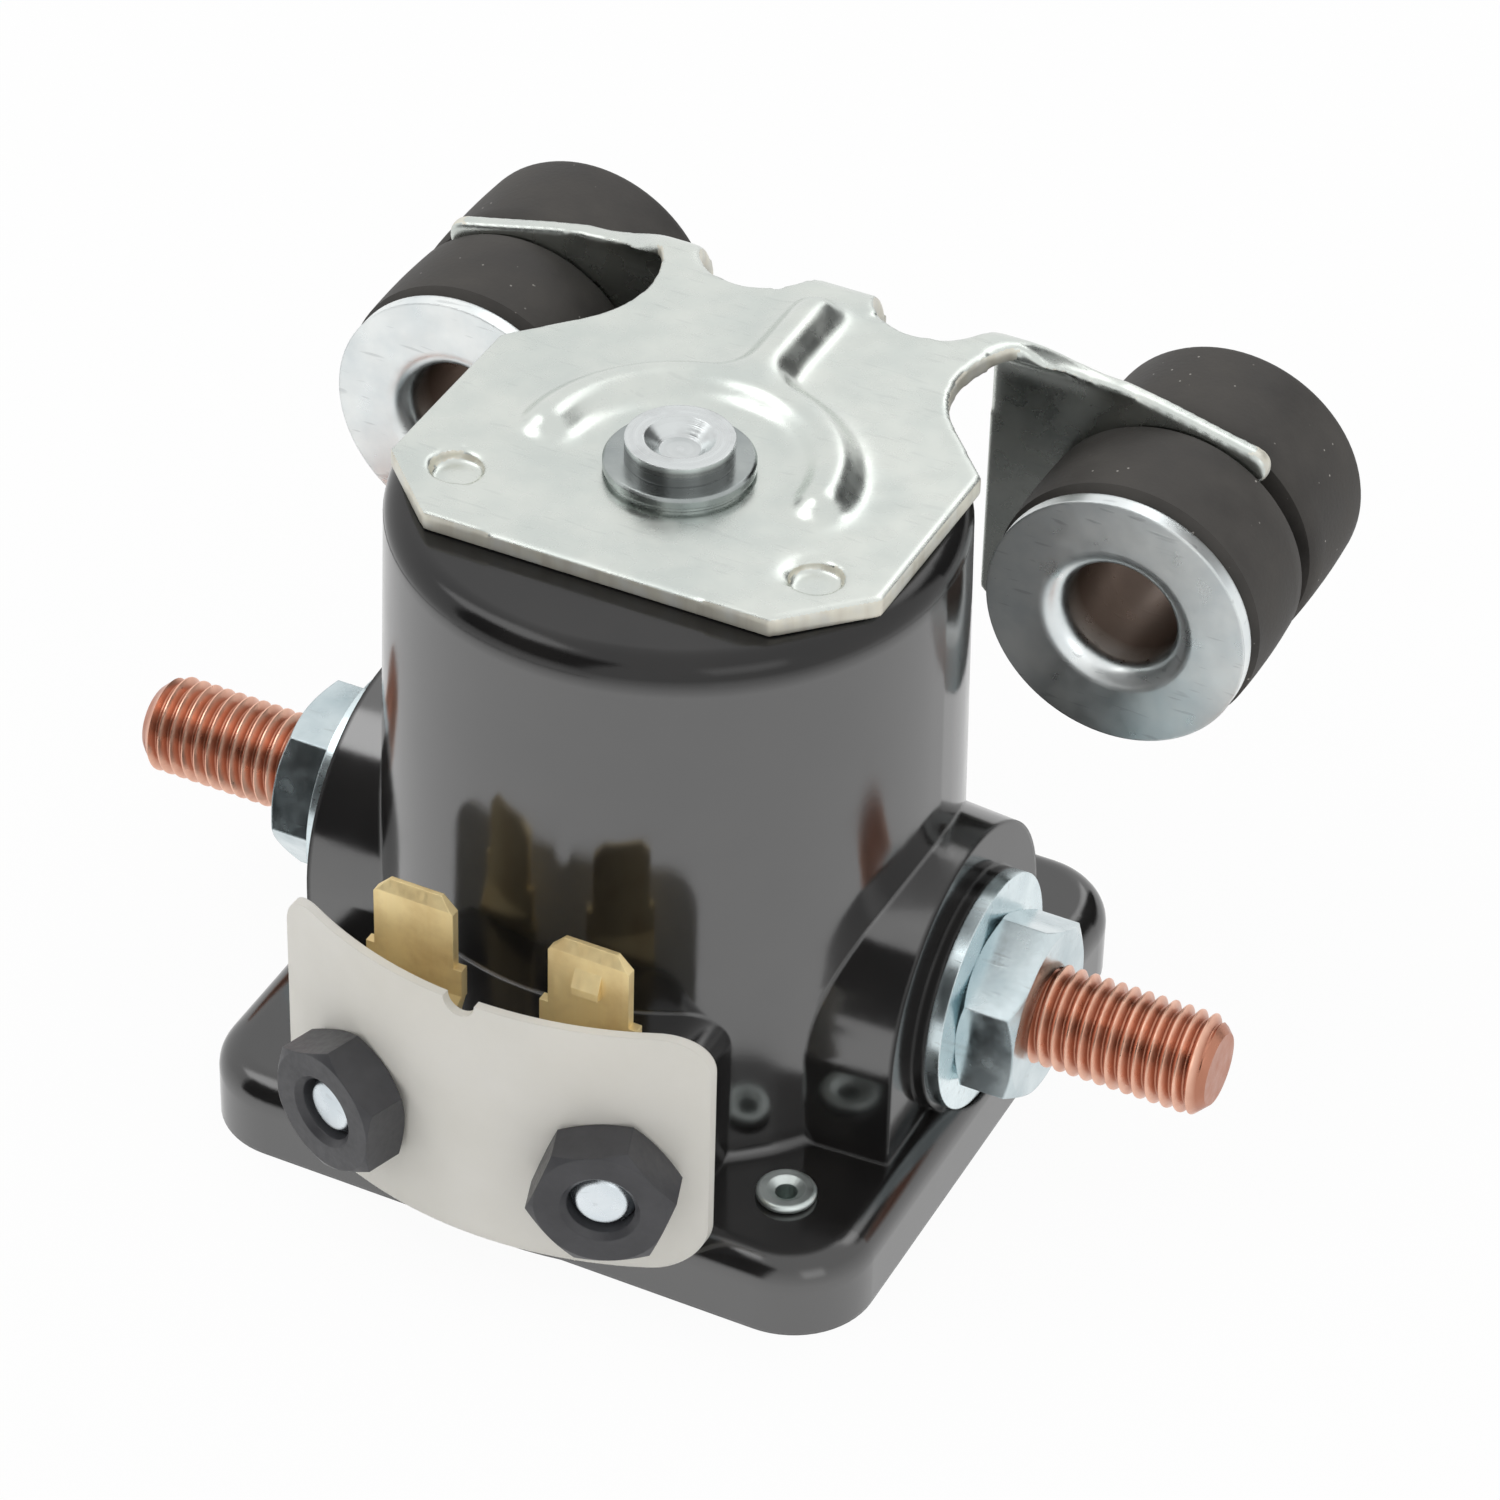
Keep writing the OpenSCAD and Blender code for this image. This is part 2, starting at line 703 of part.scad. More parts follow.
module base_gasket() {
    color("#4a4038")
        translate([0, 0, cover_t])
            difference() {
                linear_extrude(gasket_t)
                    rounded_square(cover_half, cover_corner_r);
                translate([0, 0, -overrun])
                    cylinder(r = chamber_r + pocket_clearance, h = gasket_t + 2 * overrun);
                translate([0, 0, -overrun])
                    rivet_places()
                        cylinder(r = rivet_r + pass_clearance, h = gasket_t + 2 * overrun);
            }
}

module cover_rivets() {
    roll_r = rivet_head_h / 2;
    color(zinc)
        rivet_places()
            difference() {
                union() {
                    translate([0, 0, rivet_sink_h - rivet_head_h])
                        cylinder(r = rivet_head_r, h = rivet_head_h);
                    translate([0, 0, roll_r])
                        cylinder(r = rivet_r, h = base_t);
                    translate([0, 0, base_t])
                        cylinder(r = rivet_head_r - roll_r, h = rivet_head_h);
                    translate([0, 0, base_t + roll_r])
                        rotate_extrude()
                            translate([rivet_head_r - roll_r, 0])
                                circle(roll_r);
                }
                translate([0, 0, base_t + rivet_head_h - rivet_bore_h])
                    cylinder(r = rivet_bore_r, h = rivet_bore_h + overrun);
                translate([0, 0, base_t + roll_r])
                    cylinder(r1 = rivet_bore_r, r2 = rivet_r, h = roll_r + stop_gap);
            }
}

// Bracket
module bent_strip() {
    rotate([90, 0, 90])
        linear_extrude(2 * ear_tip_x, center = true) {
            translate([-plate_front_y, plate_low_z])
                square([plate_front_y + bend_y, steel_t]);
            translate([ear_front_y, ear_low_z])
                square([steel_t, bend_z - ear_low_z]);
            intersection() {
                translate([bend_y, bend_z])
                    difference() {
                        circle(bend_out_r);
                        circle(bend_r);
                    }
                translate([bend_y, bend_z])
                    square(bend_out_r);
            }
        }
}

module plate_plan() {
    difference() {
        polygon([
            [-plate_front_half, -plate_front_y], [plate_front_half, -plate_front_y],
            [plate_half, -plate_side_front_y], [plate_half, plate_side_rear_y],
            [neck_foot_x, neck_foot_y], [neck_x, neck_foot_y],
            [neck_x, ear_split_y], [-neck_x, ear_split_y],
            [-neck_x, neck_foot_y], [-neck_foot_x, neck_foot_y],
            [-plate_half, plate_side_rear_y], [-plate_half, -plate_side_front_y]
        ]);
        for (side = [-1, 1]) {
            translate([side * neck_x, neck_y])
                circle(neck_r);
        }
    }
}

// Outline of one ear in the XZ plane, for the right side
module ear_front() {
    tip_x = ear_tip_x - prong_tip_r;
    difference() {
        polygon([
            [ear_inner_x, plate_top_z], [ear_shoulder_x, plate_top_z],
            [ear_shoulder_x, ear_shoulder_z],
            [tip_x, isolator_z + slot_r + 2 * prong_tip_r],
            [tip_x, isolator_z - slot_r - 2 * prong_tip_r],
            [isolator_x, ear_low_z], [ear_inner_x + neck_r / 3, ear_low_z],
            [ear_inner_x, ear_low_z + neck_r / 3]
        ]);
        translate([ear_shoulder_x, ear_shoulder_z + ear_hollow_r])
            circle(ear_hollow_r);
        translate([isolator_x, isolator_z]) {
            circle(slot_r);
            translate([0, -slot_r])
                square([ear_tip_x, 2 * slot_r]);
        }
    }
    for (side = [-1, 1]) {
        translate([tip_x, isolator_z + side * (slot_r + prong_tip_r)])
            circle(prong_tip_r);
    }
}

module rear_front() {
    ear_front();
    mirror([1, 0])
        ear_front();
    translate([-ear_inner_x, bend_z])
        square([2 * ear_inner_x, plate_top_z - bend_z]);
    translate([-tab_half, bend_z - tab_drop])
        square([2 * tab_half, plate_top_z - bend_z]);
}

// Section of the pressed rib, from its middle to one side or both
module rib_section(left) {
    polygon([
        [left * rib_w / 2, -rib_sink], [rib_w / 2, -rib_sink], [rib_w / 2, 0],
        [rib_top_w / 2, rib_h], [left * rib_top_w / 2, rib_h], [left * rib_w / 2, 0]
    ]);
}

module rib_cap() {
    rotate_extrude()
        rib_section(0);
}

// Concave corner between the straight rib and the curved one
module rib_corner(side) {
    difference() {
        translate([0, 0, -rib_sink])
            linear_extrude(rib_sink + rib_h)
                polygon([
                    [0, rib_fillet_y], [side * rib_fillet_x, rib_fillet_y],
                    [side * rib_fillet_x * rib_out_r / (rib_out_r + rib_fillet_r),
                     rib_fillet_y * rib_out_r / (rib_out_r + rib_fillet_r)],
                    [0, rib_arc_r]
                ]);
        translate([side * rib_fillet_x, rib_fillet_y, -rib_h])
            cylinder(r1 = rib_fillet_r - rib_run, r2 = rib_fillet_r + 2 * rib_run, h = 3 * rib_h);
    }
}

module bracket_rib() {
    rotate([0, 0, 90 - rib_half_angle])
        rotate_extrude(angle = 2 * rib_half_angle)
            translate([rib_arc_r, 0])
                rib_section(-1);
    for (side = [-1, 1]) {
        rotate([0, 0, -side * rib_half_angle])
            translate([0, rib_arc_r, 0])
                rib_cap();
        rib_corner(side);
    }
    translate([0, rib_end_y, 0]) {
        rib_cap();
        rotate([90, 0, 0])
            linear_extrude(rib_end_y - rib_arc_r)
                rib_section(-1);
    }
}

module mounting_bracket() {
    color(zinc)
        difference() {
            union() {
                intersection() {
                    bent_strip();
                    union() {
                        translate([0, 0, bend_z])
                            linear_extrude(bend_out_r + overrun)
                                plate_plan();
                        translate([0, ear_rear_y + overrun, 0])
                            rotate([90, 0, 0])
                                linear_extrude(ear_rear_y + overrun - ear_split_y + stop_gap)
                                    rear_front();
                    }
                }
                translate([0, 0, plate_top_z])
                    bracket_rib();
                for (side = [-1, 1]) {
                    translate([side * dimple_x, -dimple_y, plate_low_z - dimple_h + pocket_clearance])
                        cylinder(r = dimple_r, h = dimple_h);
                }
            }
            for (side = [-1, 1]) {
                translate([side * notch_x, notch_y, bend_z - overrun])
                    cylinder(r = notch_r, h = bend_out_r + 2 * overrun);
            }
            translate([0, 0, plate_low_z - overrun])
                cylinder(r = neck_pin_r + pass_clearance, h = steel_t + 2 * overrun);
            for (side = [-1, 1]) {
                translate([side * dimple_x, -dimple_y, plate_top_z - dimple_h])
                    cylinder(r = dimple_r, h = dimple_h + overrun);
            }
        }
}

// Magnet
module pole_core() {
    neck_top_z = plate_top_z + core_washer_t;
    color(steel)
        difference() {
            union() {
                translate([0, 0, pole_face_z])
                    cylinder(r = plunger_r, h = bobbin_top_z - pole_face_z);
                translate([0, 0, pole_face_z])
                    cylinder(r = neck_pin_r, h = neck_top_z - pole_face_z);
                translate([0, 0, neck_top_z])
                    cylinder(r = post_r, h = post_h);
            }
            translate([0, 0, neck_top_z + post_h - recess_h])
                cylinder(r1 = recess_floor_r, r2 = recess_r, h = recess_h);
        }
}

module core_washer() {
    lip = core_washer_t / 3;
    color(zinc)
        translate([0, 0, plate_top_z])
            difference() {
                rotate_extrude()
                    polygon([
                        [0, 0], [core_washer_r - lip / 2, 0],
                        [core_washer_r - lip / 2, lip], [core_washer_r, lip],
                        [core_washer_r, core_washer_t - lip / 2],
                        [core_washer_r - lip / 2, core_washer_t], [0, core_washer_t]
                    ]);
                translate([0, 0, -overrun])
                    cylinder(r = neck_pin_r + stop_gap, h = core_washer_t + 2 * overrun);
            }
}

module flux_can() {
    color(steel)
        difference() {
            translate([0, 0, can_low_z])
                cylinder(r = can_r, h = bay_top_z - can_low_z);
            cylinder(r = can_inner_r, h = bobbin_top_z);
            cylinder(r = neck_pin_r + pass_clearance, h = bay_top_z + overrun);
        }
}

module lead_places() {
    for (side = [-1, 1]) {
        translate([side * lead_x, -lead_y, 0])
            children();
    }
}

module flux_plate() {
    color(steel)
        difference() {
            translate([0, 0, can_low_z])
                ring(flux_plate_r, bobbin_bore_r + pass_clearance, flux_plate_t);
            lead_places()
                cylinder(r = lead_hole_r, h = bobbin_top_z);
        }
}

module bobbin() {
    color("#d9cfb4")
        difference() {
            union() {
                translate([0, 0, bobbin_low_z])
                    cylinder(r = bobbin_flange_r, h = bobbin_flange_t);
                translate([0, 0, bobbin_low_z])
                    cylinder(r = bobbin_tube_r, h = bobbin_top_z - bobbin_low_z);
                translate([0, 0, winding_top_z])
                    cylinder(r = bobbin_flange_r, h = bobbin_flange_t);
            }
            cylinder(r = bobbin_bore_r, h = bobbin_top_z + overrun);
            lead_places()
                cylinder(r = lead_hole_r, h = winding_low_z + overrun / 2);
        }
}

module coil_winding() {
    low = winding_low_z + stop_gap;
    pitch = (winding_top_z - stop_gap - low) / winding_turns;
    color(copper)
        rotate_extrude()
            polygon(concat(
                [[bobbin_tube_r + stop_gap, low]],
                [for (i = [0 : 2 * winding_turns])
                    [winding_r - (1 - i % 2) * pitch / 3, low + i * pitch / 2]],
                [[bobbin_tube_r + stop_gap, winding_top_z - stop_gap]]
            ));
}

module coil_leads() {
    head_r = control_seat_r - control_head_t - lead_r / 2;
    head_x = head_r * sin(control_angle);
    head_y = head_r * cos(control_angle);
    drop = can_low_z - control_z;
    color("#8f3f2c")
        for (side = [-1, 1]) {
            tube([
                [side * lead_x, -lead_y, winding_low_z],
                [side * lead_x, -lead_y, can_low_z],
                [side * lead_x, -lead_y, can_low_z - drop / 4],
                [side * (lead_x + head_x) / 2, -(lead_y + head_y) / 2, control_z + drop / 2],
                [side * head_x, -head_y + lead_r, control_z + drop / 4],
                [side * head_x, -head_y + lead_r, control_z]
            ], lead_r, wire_sides, [1, 0, 0]);
        }
}

// Moving parts
module plunger() {
    color(steel)
        translate([0, 0, plunger_low_z])
            difference() {
                cylinder(r = plunger_r, h = plunger_l);
                translate([0, 0, plunger_l - plunger_pocket_h])
                    cylinder(
                        r = return_spring_r + return_wire_r + pocket_clearance,
                        h = plunger_pocket_h + overrun
                    );
                translate([0, 0, -overrun])
                    cylinder(r = rod_r, h = rod_seat_h + overrun);
            }
}

module plunger_rod() {
    color(steel)
        difference() {
            union() {
                translate([0, 0, rod_low_z])
                    cylinder(r = rod_r, h = plunger_low_z + rod_seat_h - rod_low_z);
                translate([0, 0, collar_low_z])
                    cylinder(r = collar_r, h = plunger_low_z - collar_low_z);
            }
            translate([0, 0, clip_top_z - clip_t - stop_gap])
                ring(collar_r, rod_r * 2 / 3, clip_t + 2 * stop_gap);
        }
}

module rod_clip() {
    color(steel)
        translate([0, 0, clip_top_z - clip_t])
            difference() {
                cylinder(r = clip_r, h = clip_t);
                translate([0, 0, -overrun]) {
                    cylinder(r = rod_r * 2 / 3 + stop_gap, h = clip_t + 2 * overrun);
                    translate([-rod_r / 2, 0, 0])
                        cube([rod_r, clip_r + overrun, clip_t + 2 * overrun]);
                }
            }
}

module return_spring() {
    color(steel)
        tube(helix(return_spring_r,
                   plunger_top_z - plunger_pocket_h + return_wire_r + stop_gap,
                   pole_face_z - return_wire_r - stop_gap, return_turns, curl_rings),
             return_wire_r, wire_sides, [0, 0, 1]);
}

module overtravel_spring() {
    color(steel)
        tube(helix((rod_r + clip_r) / 2,
                   clip_top_z + overtravel_wire_r + stop_gap,
                   clip_top_z + overtravel_h - overtravel_wire_r - stop_gap,
                   overtravel_turns, curl_rings),
             overtravel_wire_r, wire_sides, [0, 0, 1]);
}

module contact_disc() {
    color(copper)
        translate([0, 0, disc_low_z])
            ring(disc_r, bush_hub_r + pass_clearance, disc_t);
}

module disc_bush_upper() {
    color("#c9b98f")
        translate([0, 0, disc_low_z + disc_t / 2])
            difference() {
                union() {
                    cylinder(r = bush_hub_r, h = disc_t / 2 + bush_t / 2);
                    translate([0, 0, disc_t / 2])
                        cylinder(r = bush_r, h = bush_t);
                }
                translate([0, 0, -overrun])
                    cylinder(r = rod_r + slide_clearance, h = disc_t + bush_t + 2 * overrun);
            }
}

module disc_bush_lower() {
    color("#c9b98f")
        translate([0, 0, disc_low_z - bush_t])
            difference() {
                union() {
                    cylinder(r = bush_r, h = bush_t);
                    cylinder(r = bush_hub_r, h = bush_t + disc_t / 2 - stop_gap);
                }
                translate([0, 0, -overrun])
                    cylinder(r = rod_r + slide_clearance, h = disc_t + bush_t + 2 * overrun);
            }
}

// Power studs
module power_stud(side) {
    color(copper)
        along_stud(side) {
            translate([-stud_head_h / 2, -stud_head_w / 2, stud_seat_x - stud_head_t])
                cube([stud_head_h, stud_head_w, stud_head_t]);
            translate([0, 0, stud_seat_x - stud_head_t / 2])
                cylinder(r = stud_r, h = pad_x - stud_seat_x + stud_head_t / 2);
            translate([0, 0, stud_seat_x])
                cylinder(r = stud_pitch_r, h = stud_thread_x + overrun - stud_seat_x);
            translate([0, 0, stud_thread_x])
                cylinder(r = stud_r, h = stud_tip_x - stud_tip_chamfer - stud_thread_x);
            translate([0, 0, stud_tip_x - stud_tip_chamfer])
                cylinder(r1 = stud_r, r2 = stud_r - stud_tip_chamfer, h = stud_tip_chamfer);
        }
}

module stud_left() {
    power_stud(-1);
}

module stud_right() {
    power_stud(1);
}

module stud_washers() {
    color(zinc)
        for (side = [-1, 1]) {
            translate([0, 0, washer_lift])
                along_stud(side)
                    translate([0, 0, pad_x])
                        ring(washer_r, washer_bore_r, washer_t);
        }
}

module stud_nuts() {
    color(zinc)
        for (side = [-1, 1]) {
            along_stud(side)
                translate([0, 0, washer_out_x])
                    rotate([0, 0, side < 0 ? left_nut_turn : 0])
                        hex_nut(nut_af, nut_t, stud_pitch_r + stop_gap);
        }
}

// Control terminals
module control_stud(side) {
    chamfer = control_r / 4;
    color(zinc)
        along_control(side) {
            translate([0, 0, control_seat_r - control_head_t])
                cylinder(r = control_head_r, h = control_head_t);
            translate([0, 0, control_seat_r - control_head_t / 2])
                cylinder(r = control_r, h = control_end_r - chamfer - control_seat_r + control_head_t / 2);
            translate([0, 0, control_end_r - chamfer])
                cylinder(r1 = control_r, r2 = control_r - chamfer, h = chamfer);
        }
}

module control_stud_left() {
    control_stud(-1);
}

module control_stud_right() {
    control_stud(1);
}

module blade_tab() {
    half = blade_w / 2;
    foot_half = blade_foot_w / 2;
    top = blade_shoulder_z + blade_tab_h;
    difference() {
        translate([0, -blade_back_y, 0])
            rotate([90, 0, 0])
                linear_extrude(blade_t)
                    polygon([
                        [-foot_half, blade_low_z], [foot_half, blade_low_z],
                        [foot_half, blade_shoulder_z], [half, blade_shoulder_z],
                        [half, top - blade_corner], [half - blade_corner, top],
                        [blade_corner - half, top], [-half, top - blade_corner],
                        [-half, blade_shoulder_z], [-foot_half, blade_shoulder_z]
                    ]);
        translate([0, -blade_back_y - blade_t, top])
            rotate([90, 0, 90])
                linear_extrude(blade_foot_w, center = true)
                    polygon([
                        [0, -blade_bevel_h], [blade_bevel_d, 0],
                        [blade_bevel_d, overrun], [-overrun, overrun],
                        [-overrun, -blade_bevel_h]
                    ]);
    }
}

module blade_foot(side) {
    along_control(side)
        translate([0, 0, foot_r_in])
            linear_extrude(blade_t)
                difference() {
                    union() {
                        circle(blade_ring_r);
                        translate([side * blade_shift - blade_foot_w / 2, 0])
                            square([blade_foot_w, foot_top_z - control_z]);
                    }
                    circle(control_r + pass_clearance);
                }
}

// Twisted web between the foot and the tab
module blade_web(side) {
    web_w = blade_foot_w - 2 * stop_gap;
    web_t = blade_t - 2 * stop_gap;
    hull() {
        along_control(side)
            translate([
                side * blade_shift - web_w / 2,
                foot_top_z - control_z - web_t / 2,
                foot_r_in + stop_gap
            ])
                cube([web_w, web_t / 2, web_t]);
        translate([side * blade_x - web_w / 2, -blade_back_y - blade_t + stop_gap, blade_low_z])
            cube([web_w, web_t, web_t / 2]);
    }
}

module blade(side) {
    blade_foot(side);
    blade_web(side);
    translate([side * blade_x, 0, 0])
        blade_tab();
}

module blade_left() {
    color(brass)
        blade(-1);
}

// The right blade carries a lanced locking bump
module blade_right() {
    bump_w = blade_w / 3;
    bump_h = blade_tab_h / 3;
    color(brass) {
        blade(1);
        translate([blade_x - bump_w / 2, -blade_back_y - blade_t, blade_shoulder_z + bump_h])
            rotate([90, 0, 90])
                linear_extrude(bump_w)
                    polygon([
                        [blade_t / 2, 0], [-blade_t * 3 / 4, 0],
                        [-blade_t * 3 / 4, bump_h / 3], [0, bump_h], [blade_t / 2, bump_h]
                    ]);
    }
}

module terminal_nuts() {
    color(zinc)
        for (side = [-1, 1]) {
            along_control(side)
                translate([0, 0, foot_r_out])
                    hex_nut(control_nut_af, terminal_nut_t, control_r + stop_gap);
        }
}

module insulator_sheet() {
    color(nylon_white)
        difference() {
            intersection() {
                ring(sheet_r, sheet_r - sheet_t, sheet_top_z);
                rotate([90, 0, -sheet_turn])
                    linear_extrude(sheet_r + overrun)
                        translate([0, (sheet_top_z + sheet_low_z) / 2]) {
                            square([2 * sheet_half_x, 2 * sheet_inner_half_z], center = true);
                            square([2 * sheet_inner_half_x, sheet_top_z - sheet_low_z], center = true);
                            for (sx = [-1, 1], sz = [-1, 1]) {
                                translate([sx * sheet_inner_half_x, sz * sheet_inner_half_z])
                                    circle(sheet_corner_r);
                            }
                        }
            }
            for (side = [-1, 1]) {
                along_control(side)
                    cylinder(r = control_r + pocket_clearance, h = control_end_r);
            }
            translate([0, 0, sheet_top_z])
                rotate([90, 0, -sheet_turn])
                    cylinder(r = sheet_notch_r, h = sheet_r + overrun);
        }
}

module nylon_nuts() {
    color(nylon_black)
        for (side = [-1, 1]) {
            along_control(side)
                translate([0, 0, nylon_nut_in_r])
                    difference() {
                        rotate([0, 0, nylon_nut_turns[side < 0 ? 0 : 1]])
                            hex_nut(control_nut_af, nylon_nut_t, control_r + stop_gap);
                        translate([0, 0, nylon_nut_t - nylon_sink_r + control_r])
                            cylinder(
                                r1 = control_r,
                                r2 = nylon_sink_r + stop_gap,
                                h = nylon_sink_r - control_r + stop_gap
                            );
                    }
        }
}

// Isolators
module rubber_isolator(side) {
    color(rubber)
        along_isolator(side)
            difference() {
                rotate_extrude() {
                    polygon([
                        [0, rubber_low_y], [bead_r - bead_chamfer, rubber_low_y],
                        [bead_r, rubber_low_y + bead_chamfer], [bead_r, groove_low_y],
                        [groove_r, groove_low_y], [groove_r, groove_top_y],
                        [bead_r, groove_top_y], [bead_r, isolator_rear_y - bead_edge_r],
                        [bead_r - bead_edge_r, isolator_rear_y], [0, isolator_rear_y]
                    ]);
                    translate([bead_r - bead_edge_r, isolator_rear_y - bead_edge_r])
                        circle(bead_edge_r);
                }
                cylinder(r = sleeve_r + stop_gap, h = isolator_rear_y + overrun);
            }
}

module isolator_left() {
    rubber_isolator(-1);
}

module isolator_right() {
    rubber_isolator(1);
}

// Flanged sleeve with its flange at the low end of the local Z axis
module flanged_sleeve() {
    length = isolator_rear_y - isolator_front_y - sleeve_recess;
    color(zinc)
        difference() {
            union() {
                cylinder(r = flange_r, h = flange_t);
                cylinder(r = sleeve_r, h = length);
            }
            translate([0, 0, -overrun])
                cylinder(r = sleeve_bore_r, h = length + 2 * overrun);
            difference() {
                translate([0, 0, -overrun])
                    cylinder(r = sleeve_bore_r + sleeve_roll_r, h = sleeve_roll_r + overrun);
                translate([0, 0, sleeve_roll_r])
                    rotate_extrude()
                        translate([sleeve_bore_r + sleeve_roll_r, 0])
                            circle(sleeve_roll_r);
            }
        }
}

module isolator_sleeve(side) {
    along_isolator(side)
        translate([0, 0, isolator_front_y])
            flanged_sleeve();
}

module sleeve_left() {
    isolator_sleeve(-1);
}

module sleeve_right() {
    isolator_sleeve(1);
}

housing();
bottom_cover();
base_gasket();
cover_rivets();
mounting_bracket();
pole_core();
core_washer();
flux_can();
flux_plate();
bobbin();
coil_winding();
coil_leads();
plunger();
plunger_rod();
return_spring();
contact_disc();
disc_bush_upper();
disc_bush_lower();
overtravel_spring();
rod_clip();
stud_left();
stud_right();
stud_washers();
stud_nuts();
control_stud_left();
control_stud_right();
blade_left();
blade_right();
terminal_nuts();
insulator_sheet();
nylon_nuts();
isolator_left();
isolator_right();
sleeve_left();
sleeve_right();
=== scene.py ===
"""Looks of a glow plug relay: its finishes, its threads and rubber, and the studio round it.

Every length is in metres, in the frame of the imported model: Z up along the body, X along the power
studs and Y to the rubber isolators.
"""

import logging
import math
from dataclasses import dataclass, field
from enum import Enum
from functools import partial
from typing import Callable, Sequence

import bpy
from mathutils import Matrix, Vector


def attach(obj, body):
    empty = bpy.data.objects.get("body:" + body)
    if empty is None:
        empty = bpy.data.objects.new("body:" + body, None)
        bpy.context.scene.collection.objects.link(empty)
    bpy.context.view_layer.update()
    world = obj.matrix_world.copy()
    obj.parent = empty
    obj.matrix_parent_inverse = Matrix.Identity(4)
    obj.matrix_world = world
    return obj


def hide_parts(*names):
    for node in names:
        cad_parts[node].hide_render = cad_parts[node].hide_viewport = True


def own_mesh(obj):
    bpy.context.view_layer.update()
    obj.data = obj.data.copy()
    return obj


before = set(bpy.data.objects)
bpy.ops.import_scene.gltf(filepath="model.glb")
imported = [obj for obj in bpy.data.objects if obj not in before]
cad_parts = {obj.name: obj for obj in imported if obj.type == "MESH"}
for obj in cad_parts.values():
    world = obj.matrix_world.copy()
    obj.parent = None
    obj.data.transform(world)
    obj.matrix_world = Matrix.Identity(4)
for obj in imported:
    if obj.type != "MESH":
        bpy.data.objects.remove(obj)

LOG = logging.getLogger("relay")
MM = 0.001
TURN = 2 * math.pi
MERGE = 0.001 * MM
SEAM = 0.002 * MM
SMOOTH = math.radians(38)
BODY = "relay_frame"
ARMATURE = "armature"
Colour = tuple[float, float, float]
Point = tuple[float, float]
Object = bpy.types.Object
Material = bpy.types.Material
Socket = bpy.types.NodeSocket


class Side(Enum):
    """The two sides of the relay, with the sign of X on each."""

    LEFT = -1
    RIGHT = 1

    @property
    def word(self) -> str:
        """The side's name in lower case."""
        return self.name.lower()


class Direction(Enum):
    """How the fine lines of a rolled or turned surface run."""

    NONE = (1.0, 1.0, 1.0)
    ALONG_Z = (1.0, 1.0, 0.03)
    SHORT = (0.14, 1.0, 1.0)


